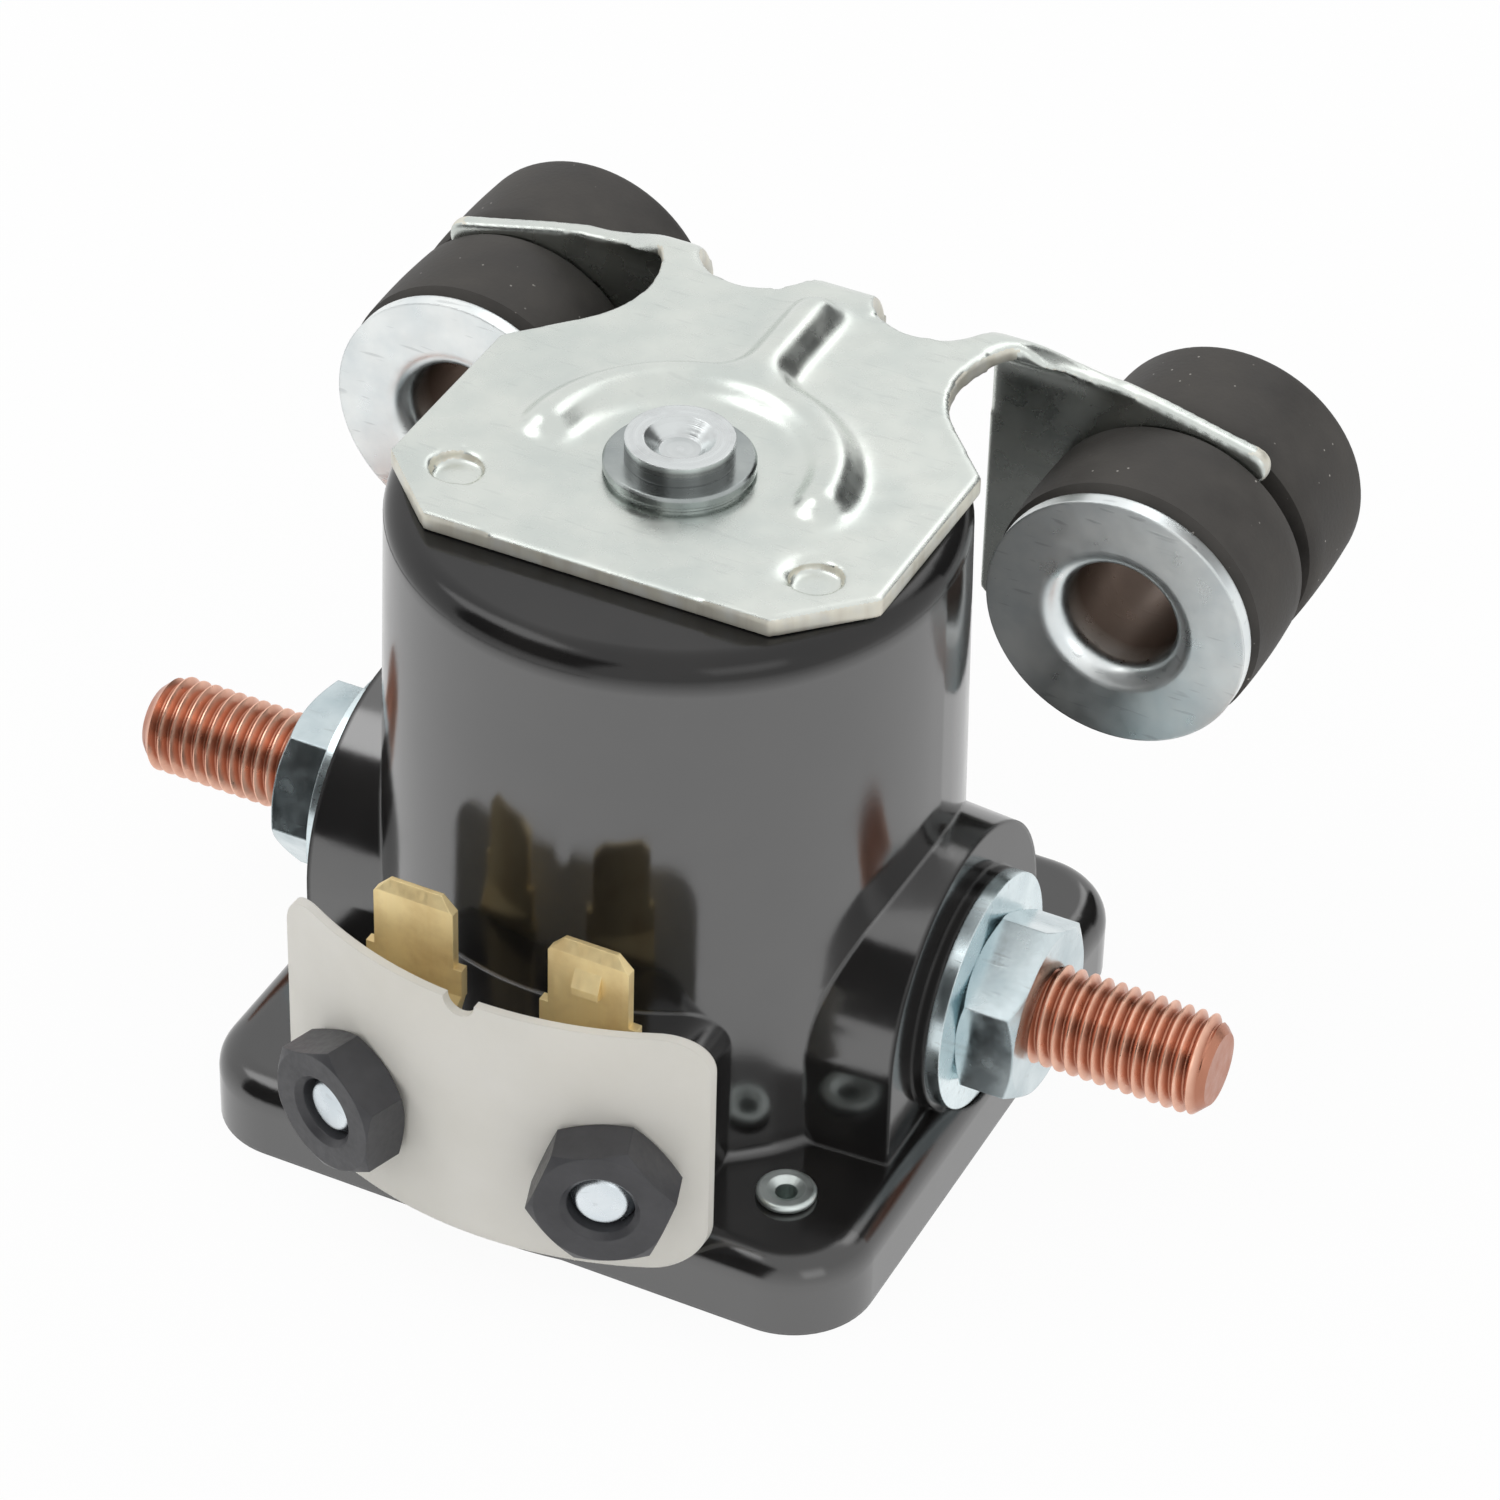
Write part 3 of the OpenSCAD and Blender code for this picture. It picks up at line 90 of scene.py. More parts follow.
class Sketch:
    """The node tree of one material, with short calls for what the finishes share."""

    def __init__(self, name: str, metal: float = 0.0) -> None:
        """Starts a material of that name.

        Args:
            name: the material's name.
            metal: how far it is a metal, from 0 to 1.
        """
        self.material = bpy.data.materials.new(name)
        self.material.use_nodes = True
        self.tree = self.material.node_tree
        self.shader = self.tree.nodes["Principled BSDF"]
        self.shader.inputs["Metallic"].default_value = metal
        self.place = self.tree.nodes.new("ShaderNodeTexCoord").outputs["Object"]

    def add(self, kind: str, **inputs: object) -> bpy.types.Node:
        """Adds a node and sets or joins its inputs.

        Args:
            kind: the node's type.
            inputs: a value or a socket for each input, with _ for a space in its name.

        Returns:
            The new node.
        """
        node = self.tree.nodes.new(kind)
        for key, value in inputs.items():
            self.feed(node, key.replace("_", " "), value)
        return node

    def feed(self, node: bpy.types.Node, key: str | int, value: object) -> None:
        """Sets an input to a value, or joins a socket to it.

        Args:
            node: the node that is fed.
            key: the name or number of the input.
            value: the value or the socket.
        """
        if isinstance(value, Socket):
            self.tree.links.new(value, node.inputs[key])
        else:
            node.inputs[key].default_value = value

    def noise(
        self, scale: float, detail: float = 3.0, run: Direction = Direction.NONE, turn: float = 0.0
    ) -> Socket:
        """Noise on the object's own place.

        Args:
            scale: waves a metre.
            detail: octaves of the noise.
            run: the direction that the noise is drawn out along.
            turn: a turn about Z, in radians.

        Returns:
            The noise, from 0 to 1.
        """
        mapping = self.add(
            "ShaderNodeMapping", Vector=self.place, Scale=run.value, Rotation=(0, 0, turn)
        )
        node = self.add("ShaderNodeTexNoise", Vector=mapping.outputs[0], Scale=scale, Detail=detail)
        return node.outputs["Fac"]

    def levels(
        self, value: Socket, low: float, high: float, start: float = 0.0, end: float = 1.0
    ) -> Socket:
        """Maps a range of a value onto another range.

        Args:
            value: what is mapped.
            low: the value that gives start.
            high: the value that gives end.
            start: the result at low and below it.
            end: the result at high and above it.

        Returns:
            The mapped value.
        """
        node = self.add(
            "ShaderNodeMapRange",
            Value=value, From_Min=low, From_Max=high, To_Min=start, To_Max=end,
        )
        return node.outputs["Result"]

    def mix(self, share: object, first: object, second: object) -> Socket:
        """Mixes two colours.

        Args:
            share: 0 for the first colour and 1 for the second.
            first: a colour or a socket.
            second: a colour or a socket.

        Returns:
            The mixed colour.
        """
        node = self.tree.nodes.new("ShaderNodeMix")
        node.data_type = "RGBA"
        for key, value in ((0, share), (6, first), (7, second)):
            self.feed(node, key, self.tint(value))
        return node.outputs[2]

    @staticmethod
    def tint(colour: object) -> object:
        """A plain colour with its alpha, or anything else as it is."""
        return (*colour, 1.0) if isinstance(colour, tuple) else colour

    def math(self, operation: str, first: object, second: object = 0.0) -> Socket:
        """A sum on one or two values.

        Args:
            operation: Blender's name of the sum.
            first: a value or a socket.
            second: a value or a socket.

        Returns:
            The result.
        """
        node = self.tree.nodes.new("ShaderNodeMath")
        node.operation = operation
        self.feed(node, 0, first)
        self.feed(node, 1, second)
        return node.outputs[0]

    def spot(self) -> tuple[Socket, Socket, Socket]:
        """The X, Y and Z of a point in the object's own frame."""
        split = self.add("ShaderNodeSeparateXYZ", Vector=self.place)
        return split.outputs["X"], split.outputs["Y"], split.outputs["Z"]

    def reach(self, first: Socket, second: Socket) -> Socket:
        """Distance from an axis.

        Args:
            first: the distance along one side.
            second: the distance square to it.

        Returns:
            The distance.
        """
        squares = [self.math("POWER", side, 2.0) for side in (first, second)]
        return self.math("SQRT", self.math("ADD", *squares))

    def bump(self, height: Socket, depth: float, normal: Socket | None = None) -> Socket:
        """Relief from a height of 0 to 1.

        Args:
            height: the height.
            depth: the depth of the relief, in metres.
            normal: relief that lies under this one.

        Returns:
            The bent normal.
        """
        node = self.add("ShaderNodeBump", Height=height, Distance=depth)
        if normal is not None:
            self.feed(node, "Normal", normal)
        return node.outputs[0]

    def soft_edges(self, radius: float) -> Socket:
        """A normal that rounds the edges by the way they catch the light.

        Args:
            radius: the radius of the rounding.

        Returns:
            The rounded normal.
        """
        return self.add("ShaderNodeBevel", Radius=radius).outputs[0]

    def scratches(self, scale: float, turn: float, width: float) -> Socket:
        """Thin straight scratches.

        Args:
            scale: waves a metre across the scratches.
            turn: their direction, as a turn about Z.
            width: the share of the surface near the scratches.

        Returns:
            1 on a scratch and 0 beside it.
        """
        lines = self.noise(scale, 1.0, Direction.SHORT, turn)
        return self.levels(lines, 0.72 - width, 0.74)

    def done(self, colour: object, roughness: object, normal: Socket | None = None) -> Material:
        """Joins the three that every finish sets.

        Args:
            colour: a colour or a socket.
            roughness: a value or a socket.
            normal: the bent normal.

        Returns:
            The finished material.
        """
        self.feed(self.shader, "Base Color", self.tint(colour))
        self.feed(self.shader, "Roughness", roughness)
        if normal is not None:
            self.feed(self.shader, "Normal", normal)
        return self.material


@dataclass(frozen=True)
class Phenolic:
    """Glossy black moulding compound with faint flow marks."""

    name: str
    deep: Colour = (0.0085, 0.0083, 0.0085)
    pale: Colour = (0.0150, 0.0140, 0.0135)
    gloss: float = 0.10
    dull: float = 0.17
    mirror: float = 1.0
    # specular level of the painted shade on the boss faces, crown and base rim
    matt: float = 0.25
    ior: float = 1.72
    edge: float = 0.45 * MM
    boss_x: float = 24.0 * MM
    base_z: float = 7.0 * MM
    crown_z: float = 49.2 * MM
    rim_z: float = 5.6 * MM
    rim_share: float = 0.5

    def shine(self, sketch: Sketch) -> Socket:
        """The specular level, lowered on the stud bosses' faces, the crown and the rim of the base
        as painted shade.

        Args:
            sketch: the material's node tree.

        Returns:
            The level.
        """
        across, _, up = sketch.spot()
        aside = sketch.math("ABSOLUTE", across)
        outer = sketch.levels(aside, self.boss_x - 0.3 * MM, self.boss_x)
        raised = sketch.levels(up, self.base_z, self.base_z + MM)
        crown = sketch.levels(up, self.crown_z - 1.4 * MM, self.crown_z)
        rim = sketch.levels(up, self.rim_z - MM, self.rim_z, 0.0, self.rim_share)
        rim = sketch.math("MULTIPLY", rim, sketch.math("SUBTRACT", 1.0, raised))
        boss = sketch.math("MULTIPLY", outer, raised)
        # Painted shade: where this mask is 1, the reflections are dimmed.
        dull = sketch.math("MAXIMUM", boss, sketch.math("MAXIMUM", crown, rim))
        return sketch.levels(dull, 0.0, 1.0, self.mirror, self.matt)

    def paint(self) -> Material:
        """Builds the material."""
        sketch = Sketch(self.name)
        sketch.feed(sketch.shader, "Specular IOR Level", self.shine(sketch))
        sketch.shader.inputs["IOR"].default_value = self.ior
        flow = sketch.noise(90, 5.0)
        ripple = sketch.noise(150, 2.0, Direction.ALONG_Z)
        grain = sketch.noise(2600, 2.0)
        colour = sketch.mix(sketch.levels(flow, 0.35, 0.65), self.deep, self.pale)
        rough = sketch.levels(sketch.noise(240, 4.0), 0.3, 0.7, self.gloss, self.dull)
        normal = sketch.bump(ripple, 0.02 * MM, sketch.soft_edges(self.edge))
        return sketch.done(colour, rough, sketch.bump(grain, 0.0015 * MM, normal))


@dataclass(frozen=True)
class Zinc:
    """Bright zinc plating on steel, clouded and scratched."""

    name: str
    pale: Colour = (0.68, 0.71, 0.67)
    cloud: Colour = (0.60, 0.64, 0.61)
    gloss: float = 0.22
    dull: float = 0.34
    scratch: float = 0.5
    edge: float = 0.30 * MM
    worn: Colour = (0.35, 0.37, 0.37)

    def paint(self) -> Material:
        """Builds the material."""
        sketch = Sketch(self.name, 1.0)
        clouds = sketch.noise(220, 6.0)
        speckle = sketch.noise(2400)
        colour = sketch.mix(sketch.levels(clouds, 0.35, 0.68), self.pale, self.cloud)
        marks = sketch.scratches(1900, 0.7, 0.03)
        for scale, turn in ((2500, 2.3), (1500, 1.25)):
            marks = sketch.math("MAXIMUM", marks, sketch.scratches(scale, turn, 0.02))
        worn = sketch.math("MULTIPLY", marks, self.scratch)
        colour = sketch.mix(sketch.math("MULTIPLY", worn, 0.5), colour, self.worn)
        rough = sketch.levels(sketch.noise(520, 5.0), 0.3, 0.7, self.gloss, self.dull)
        normal = sketch.bump(speckle, 0.004 * MM, sketch.soft_edges(self.edge))
        return sketch.done(colour, rough, sketch.bump(worn, 0.004 * MM, normal))


@dataclass(frozen=True)
class SleeveZinc:
    """Zinc plating whose colour turns dark brown inside the bore, from just behind the throat
    inwards.
    """

    name: str
    axis_x: float
    axis_z: float
    bore: float
    throat_y: float
    pale: Colour = (0.90, 0.93, 0.92)
    cloud: Colour = (0.74, 0.79, 0.80)
    brown: Colour = (0.34, 0.29, 0.26)
    worn: Colour = (0.42, 0.44, 0.45)

    def paint(self) -> Material:
        """Builds the material."""
        sketch = Sketch(self.name, 1.0)
        across, back, up = sketch.spot()
        aside = sketch.math("SUBTRACT", sketch.math("ABSOLUTE", across), self.axis_x)
        radius = sketch.reach(aside, sketch.math("SUBTRACT", up, self.axis_z))
        # Inside the bore, past the throat, the colour goes over to dark brown.
        inside = sketch.levels(radius, self.bore + 0.1 * MM, self.bore + 0.3 * MM, 1.0, 0.0)
        deep = sketch.levels(back, self.throat_y, self.throat_y + 2 * MM)
        bore_brown = sketch.math("MULTIPLY", inside, deep)
        clouds = sketch.levels(sketch.noise(240, 6.0), 0.35, 0.68)
        coarse, fine = sketch.scratches(1700, 0.4, 0.03), sketch.scratches(2300, 1.9, 0.02)
        marks = sketch.math("MAXIMUM", coarse, fine)
        colour = sketch.mix(clouds, self.pale, self.cloud)
        colour = sketch.mix(sketch.math("MULTIPLY", marks, 0.35), colour, self.worn)
        colour = sketch.mix(bore_brown, colour, self.brown)
        rough = sketch.levels(sketch.noise(520, 5.0), 0.3, 0.7, 0.26, 0.38)
        normal = sketch.bump(clouds, 0.010 * MM, sketch.soft_edges(0.25 * MM))
        return sketch.done(colour, rough, sketch.bump(marks, 0.004 * MM, normal))


@dataclass(frozen=True)
class TurnedSteel:
    """Bright turned steel with fine rings round the body axis, and painted shade that darkens the
    side of the head below its top face.
    """

    name: str
    pale: Colour = (0.68, 0.71, 0.71)
    dark: Colour = (0.42, 0.43, 0.43)
    # painted shade colour of the head's side
    side: Colour = (0.20, 0.20, 0.20)
    top_z: float = 54.95 * MM
    head_r: float = 3.85 * MM

    def paint(self) -> Material:
        """Builds the material."""
        sketch = Sketch(self.name, 1.0)
        across, back, up = sketch.spot()
        radius = sketch.reach(across, back)
        rings = sketch.add("ShaderNodeCombineXYZ", X=radius, Y=up).outputs[0]
        grooves, bands = (
            sketch.add("ShaderNodeTexNoise", Vector=rings, Scale=scale, Detail=detail).outputs[0]
            for scale, detail in ((5200.0, 2.0), (900.0, 3.0))
        )
        blots = sketch.levels(sketch.noise(500, 4.0), 0.45, 0.75, 0.0, 0.5)
        shade = sketch.math("MAXIMUM", sketch.levels(bands, 0.45, 0.65, 0.0, 0.5), blots)
        # Painted shade: below the top face, at the head's radius, the colour goes over to the dark
        # side tone.
        below = sketch.levels(up, self.top_z - 0.5 * MM, self.top_z - 0.2 * MM, 1.0, 0.0)
        beside = sketch.levels(radius, self.head_r - 0.25 * MM, self.head_r, 0.0, 0.8)
        colour = sketch.mix(shade, self.pale, self.dark)
        colour = sketch.mix(sketch.math("MULTIPLY", below, beside), colour, self.side)
        normal = sketch.bump(grooves, 0.010 * MM, sketch.soft_edges(0.15 * MM))
        return sketch.done(colour, sketch.levels(bands, 0.3, 0.7, 0.20, 0.34), normal)


@dataclass(frozen=True)
class ShearedZinc:
    """Plated edge of the sheet, drawn and torn across its thickness by the punch, in a cream tone
    lighter than the faces that is partly a painted highlight along the edge.
    """

    name: str
    # cream tone of the sheared edge, lighter than the faces: partly its own colour, partly a painted
    # highlight
    cream: Colour = (0.76, 0.74, 0.64)
    torn: Colour = (0.68, 0.65, 0.56)
    bright: Colour = (0.72, 0.74, 0.72)
    metal: float = 0.5

    def paint(self) -> Material:
        """Builds the material."""
        sketch = Sketch(self.name, self.metal)
        streaks = sketch.noise(1100, 2.0, Direction.ALONG_Z)
        blots = sketch.noise(600, 4.0)
        colour = sketch.mix(sketch.levels(streaks, 0.42, 0.66), self.cream, self.torn)
        colour = sketch.mix(sketch.levels(blots, 0.45, 0.7, 0.0, 0.6), colour, self.bright)
        normal = sketch.bump(streaks, 0.008 * MM, sketch.soft_edges(0.2 * MM))
        return sketch.done(colour, sketch.levels(blots, 0.3, 0.7, 0.34, 0.52), normal)


@dataclass(frozen=True)
class Copper:
    """Rolled copper thread, with painted shade darkening its roots and painted highlights
    brightening its crests.
    """

    name: str
    axis_z: float
    root: float
    crest: float
    # painted highlight colour of the crests, then painted shade colour of the roots
    bright: Colour = (0.92, 0.56, 0.42)
    dark: Colour = (0.46, 0.20, 0.13)
    stained: Colour = (0.62, 0.29, 0.20)

    def paint(self) -> Material:
        """Builds the material."""
        sketch = Sketch(self.name, 1.0)
        _, back, up = sketch.spot()
        radius = sketch.reach(sketch.math("SUBTRACT", up, self.axis_z), back)
        # Painted light: the colour runs from the root's shade tone to the crest's highlight tone
        # with the distance from the axis.
        crest = sketch.levels(radius, self.root, self.crest)
        stain = sketch.levels(sketch.noise(450, 5.0), 0.3, 0.7, 0.0, 0.35)
        colour = sketch.mix(crest, self.dark, self.bright)
        colour = sketch.mix(stain, colour, self.stained)
        rough = sketch.levels(sketch.noise(900, 4.0), 0.3, 0.7, 0.26, 0.44)
        normal = sketch.bump(sketch.noise(5200, 2.0), 0.012 * MM)
        return sketch.done(colour, rough, normal)


@dataclass(frozen=True)
class Brass:
    """Stamped brass strip with faint stains and rolling lines."""

    name: str
    bright: Colour = (0.96, 0.78, 0.42)
    stain: Colour = (0.72, 0.52, 0.24)
    metal: float = 0.7

    def paint(self) -> Material:
        """Builds the material."""
        sketch = Sketch(self.name, self.metal)
        blots = sketch.levels(sketch.noise(380, 5.0), 0.42, 0.75, 0.0, 0.8)
        lines = sketch.noise(3000, 2.0, Direction.ALONG_Z)
        colour = sketch.mix(blots, self.bright, self.stain)
        rough = sketch.levels(lines, 0.3, 0.7, 0.40, 0.56)
        normal = sketch.bump(lines, 0.008 * MM, sketch.soft_edges(0.1 * MM))
        return sketch.done(colour, rough, normal)


@dataclass(frozen=True)
class Rubber:
    """Charcoal rubber with a dusty skin and pale specks."""

    name: str
    deep: Colour = (0.040, 0.037, 0.034)
    dusty: Colour = (0.075, 0.070, 0.064)
    speck: Colour = (0.42, 0.40, 0.37)
    mirror: float = 0.35

    def paint(self) -> Material:
        """Builds the material."""
        sketch = Sketch(self.name)
        sketch.shader.inputs["Specular IOR Level"].default_value = self.mirror
        dust = sketch.levels(sketch.noise(170, 6.0), 0.35, 0.7)
        colour = sketch.mix(dust, self.deep, self.dusty)
        cells = sketch.add("ShaderNodeTexVoronoi", Vector=sketch.place, Scale=760)
        specks = sketch.levels(cells.outputs["Distance"], 0.04, 0.08, 1.0, 0.0)
        sparse = sketch.levels(sketch.noise(240, 2.0), 0.44, 0.54)
        colour = sketch.mix(sketch.math("MULTIPLY", specks, sparse), colour, self.speck)
        rough = sketch.levels(dust, 0.0, 1.0, 0.58, 0.8)
        normal = sketch.bump(sketch.noise(2400, 5.0), 0.03 * MM)
        return sketch.done(colour, rough, normal)


@dataclass(frozen=True)
class MilkyNylon:
    """Natural nylon sheet that lets a little light through."""

    name: str
    clear: Colour = (0.95, 0.93, 0.87)
    hazy: Colour = (0.90, 0.88, 0.81)
    through: float = 0.22
    ior: float = 1.45

    def paint(self) -> Material:
        """Builds the material."""
        sketch = Sketch(self.name)
        sketch.shader.inputs["Transmission Weight"].default_value = self.through
        sketch.shader.inputs["IOR"].default_value = self.ior
        haze = sketch.levels(sketch.noise(140, 4.0), 0.3, 0.7)
        colour = sketch.mix(haze, self.clear, self.hazy)
        rough = sketch.levels(sketch.noise(500, 3.0), 0.3, 0.7, 0.42, 0.52)
        normal = sketch.bump(haze, 0.03 * MM, sketch.soft_edges(0.12 * MM))
        return sketch.done(colour, rough, normal)


@dataclass(frozen=True)
class Plastic:
    """Any other moulded or pressed plastic, from two near tones."""

    name: str
    deep: Colour
    pale: Colour
    gloss: float
    dull: float
    grain: float = 1800
    depth: float = 0.02 * MM

    def paint(self) -> Material:
        """Builds the material."""
        sketch = Sketch(self.name)
        cloud = sketch.levels(sketch.noise(300, 4.0), 0.3, 0.7)
        grain = sketch.noise(self.grain, 3.0)
        colour = sketch.mix(cloud, self.deep, self.pale)
        rough = sketch.levels(grain, 0.3, 0.7, self.gloss, self.dull)
        normal = sketch.bump(grain, self.depth, sketch.soft_edges(0.15 * MM))
        return sketch.done(colour, rough, normal)


@dataclass(frozen=True)
class Varnish:
    """Enamelled copper wire or a bare copper face, lightly clouded."""

    name: str
    bright: Colour
    deep: Colour
    gloss: float

    def paint(self) -> Material:
        """Builds the material."""
        sketch = Sketch(self.name, 1.0)
        cloud = sketch.levels(sketch.noise(400, 4.0), 0.3, 0.7)
        colour = sketch.mix(cloud, self.bright, self.deep)
        rough = sketch.levels(sketch.noise(1500, 3.0), 0.3, 0.7, self.gloss, self.gloss + 0.16)
        return sketch.done(colour, rough, sketch.bump(cloud, 0.01 * MM))


class Bench:
    """Shared steps of modelling: selecting, editing and finishing a piece."""

    @staticmethod
    def clear() -> None:
        """Deselects every object."""
        for item in bpy.context.selected_objects:
            item.select_set(False)

    @classmethod
    def hold(cls, piece: Object) -> None:
        """Selects one piece alone and makes it active.

        Args:
            piece: the piece.
        """
        cls.clear()
        piece.select_set(True)
        bpy.context.view_layer.objects.active = piece

    @classmethod
    def outline(cls, name: str, points: Sequence[Point]) -> Object:
        """Makes a chain of edges in the XZ plane, ready to be turned about Z.

        Args:
            name: the piece's name.
            points: radius and height of each point.

        Returns:
            The object, selected and active.
        """
        mesh = bpy.data.meshes.new(name)
        verts = [(r, 0.0, z) for r, z in points]
        mesh.from_pydata(verts, [(i, i + 1) for i in range(len(verts) - 1)], [])
        piece = bpy.data.objects.new(name, mesh)
        bpy.context.scene.collection.objects.link(piece)
        cls.hold(piece)
        return piece

    @classmethod
    def apply(cls, piece: Object, kind: str, **settings: object) -> None:
        """Puts a modifier on a piece and applies it.

        Args:
            piece: the piece.
            kind: the modifier's type.
            settings: the modifier's values.
        """
        cls.hold(piece)
        modifier = piece.modifiers.new(kind.lower(), kind)
        for key, value in settings.items():
            setattr(modifier, key, value)
        bpy.ops.object.modifier_apply(modifier=modifier.name)

    @classmethod
    def edit(cls, piece: Object, work: Callable[[], object], everything: bool = True) -> None:
        """Runs operators on a piece in edit mode.

        Args:
            piece: the piece.
            work: what is run.
            everything: whether all of it is selected, or only what the mesh has selected.
        """
        cls.hold(piece)
        bpy.ops.object.mode_set(mode="EDIT")
        if everything:
            bpy.ops.mesh.select_all(action="SELECT")
        else:
            bpy.ops.mesh.select_mode(type="VERT")
        work()
        bpy.ops.object.mode_set(mode="OBJECT")

    @classmethod
    def turned(cls, name: str, points: Sequence[Point], steps: int) -> Object:
        """Spins an outline about Z into a closed piece.

        Args:
            name: the piece's name.
            points: radius and height of each point, back to the first where it has a bore.
            steps: steps in the turn.

        Returns:
            The turned piece.
        """
        piece = cls.outline(name, points)

        def work() -> None:
            """Spins, merges the seam and turns the faces outwards."""
            bpy.ops.mesh.spin(steps=steps, angle=TURN, center=(0, 0, 0), axis=(0, 0, 1))
            bpy.ops.mesh.select_all(action="SELECT")
            bpy.ops.mesh.remove_doubles(threshold=MERGE)
            bpy.ops.mesh.normals_make_consistent(inside=False)

        cls.edit(piece, work)
        return piece

    @classmethod
    def block(cls, name: str, centre: Sequence[float], size: Sequence[float]) -> Object:
        """Adds a block to work on.

        Args:
            name: its name.
            centre: the place of its centre.
            size: the lengths of its sides.

        Returns:
            The block.
        """
        cls.clear()
        bpy.ops.mesh.primitive_cube_add(size=1, location=centre)
        piece = bpy.context.active_object
        piece.name = name
        piece.scale = size
        bpy.ops.object.transform_apply()
        return piece

    @classmethod
    def join(cls, piece: Object, *others: Object) -> None:
        """Joins other pieces to one.

        Args:
            piece: the piece that stays.
            others: the pieces that go into it.
        """
        cls.hold(piece)
        for other in others:
            other.select_set(True)
        bpy.ops.object.join()

    @staticmethod
    def place(piece: Object, where: Matrix) -> None:
        """Moves a piece's mesh, so that its object stays at the origin.

        Args:
            piece: the piece.
            where: the place and direction that it goes to.
        """
        piece.data.transform(where)
        piece.data.update()

    @classmethod
    def finish(cls, piece: Object, material: Material, body: str, slot: str, node: str) -> None:
        """Dresses a piece, and lets it stand for a node and ride on its body.

        Args:
            piece: the piece.
            material: its finish.
            body: the body that carries it.
            slot: not used.
            node: the node that it stands for.
        """
        cls.hold(piece)
        bpy.ops.object.shade_smooth_by_angle(angle=SMOOTH)
        piece.data.materials.clear()
        piece.data.materials.append(material)
        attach(piece, body)
        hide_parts(node)
        LOG.info("%s: %d faces, stands for %s", piece.name, len(piece.data.polygons), node)


@dataclass
class ThreadedStud:
    """A rod with a rolled thread, a plain tail and a chamfered tip, along its own Z."""

    name: str
    radius: float
    pitch: float
    tail: float
    start: float
    tip: float
    chamfer: float
    steps: int = 40
    depth_share: float = 0.6

    def profile(self) -> list[Point]:
        """One pitch of the thread, from root to root, with rounded crest and root."""
        depth = self.depth_share * self.pitch
        shares = ((0.0, 0.0), (0.07, 0.03), (0.17, 0.25), (0.38, 0.86), (0.45, 0.985),
                  (0.55, 0.985), (0.62, 0.86), (0.83, 0.25), (0.93, 0.03), (1.0, 0.0))
        return [(self.radius - depth * (1 - high), self.pitch * along) for along, high in shares]

    def thread(self) -> Object:
        """Turns the thread, trims it and closes its ends.

        Returns:
            The threaded rod from start to tip.
        """
        piece = Bench.outline(self.name, self.profile())
        turns = math.ceil((self.tip - self.start) / self.pitch) + 2
        Bench.apply(
            piece, "SCREW", axis="Z", screw_offset=self.pitch, iterations=turns,
            steps=self.steps, render_steps=self.steps,
        )
        Bench.place(piece, Matrix.Translation((0, 0, self.start - self.pitch)))

        def trim() -> None:
            """Cuts both ends square and closes them."""
            for height, side in ((self.start, -1), (self.tip, 1)):
                bpy.ops.mesh.select_all(action="SELECT")
                bpy.ops.mesh.bisect(
                    plane_co=(0, 0, height), plane_no=(0, 0, side),
                    clear_outer=True, use_fill=True, threshold=MERGE / 10,
                )
            bpy.ops.mesh.select_all(action="SELECT")
            bpy.ops.mesh.normals_make_consistent(inside=False)

        Bench.edit(piece, partial(bpy.ops.mesh.remove_doubles, threshold=SEAM))
        for vertex in piece.data.vertices:
            far = math.hypot(vertex.co.x, vertex.co.y)
            reach = min(self.radius, self.radius - self.chamfer + (self.tip - vertex.co.z))
            if far > reach > 0:
                vertex.co.x *= reach / far
                vertex.co.y *= reach / far
        Bench.edit(piece, trim)
        return piece

    def shank(self) -> Object:
        """The plain part between the head and the thread.

        Returns:
            The shank.
        """
        root = self.radius - self.depth_share * self.pitch
        shoulder = self.start - 0.2 * self.pitch
        end = self.start + 0.1 * self.pitch
        points = [
            (0.0, self.tail), (self.radius, self.tail), (self.radius, shoulder), (root, end),
            (0.0, end),
        ]
        return Bench.turned(self.name + "_shank", points, self.steps)

    def build(self, head: Object) -> Object:
        """Joins the head, the shank and the thread.

        Args:
            head: the head inside the housing, in the stud's own frame.

        Returns:
            The stud, along its own Z.
        """
        thread = self.thread()
        Bench.join(thread, head, self.shank())
        return thread


@dataclass
class PowerStuds:
    """The two copper studs: a flat head inside, a 5/16 inch thread outside."""

    axis_z: float = 13.9 * MM
    radius: float = 3.85 * MM
    pitch: float = 1.058 * MM
    seat: float = 19.4 * MM
    head_t: float = 4.8 * MM
    head_w: float = 12.0 * MM
    head_h: float = 7.8 * MM
    thread_start: float = 24.0 * MM
    tip: float = 44.3 * MM
    chamfer: float = 1.1 * MM
    head_edge: float = 0.4 * MM

    def head(self, name: str) -> Object:
        """The forged flat head with softened edges.

        Args:
            name: the name that the head gets until it is joined.

        Returns:
            The head, along Z.
        """
        centre = (0, 0, self.seat - self.head_t / 2)
        piece = Bench.block(name, centre, (self.head_h, self.head_w, self.head_t))
        soften = partial(bpy.ops.mesh.bevel, offset=self.head_edge, segments=2, affect="EDGES")
        Bench.edit(piece, soften)
        return piece

    def build(self, side: Side, material: Material) -> None:
        """Builds and dresses the stud of one side.

        Args:
            side: the side.
            material: the copper.
        """
        stud = ThreadedStud(
            name=f"power_stud_{side.word}", radius=self.radius, pitch=self.pitch,
            tail=self.seat - self.head_t / 2, start=self.thread_start, tip=self.tip,
            chamfer=self.chamfer,
        )
        piece = stud.build(self.head(f"stud_head_{side.word}"))
        turn = Matrix.Rotation(side.value * TURN / 4, 4, "Y")
        Bench.place(piece, Matrix.Translation((0, 0, self.axis_z)) @ turn)
        Bench.finish(piece, material, BODY, "stud_copper", f"stud_{side.word}")


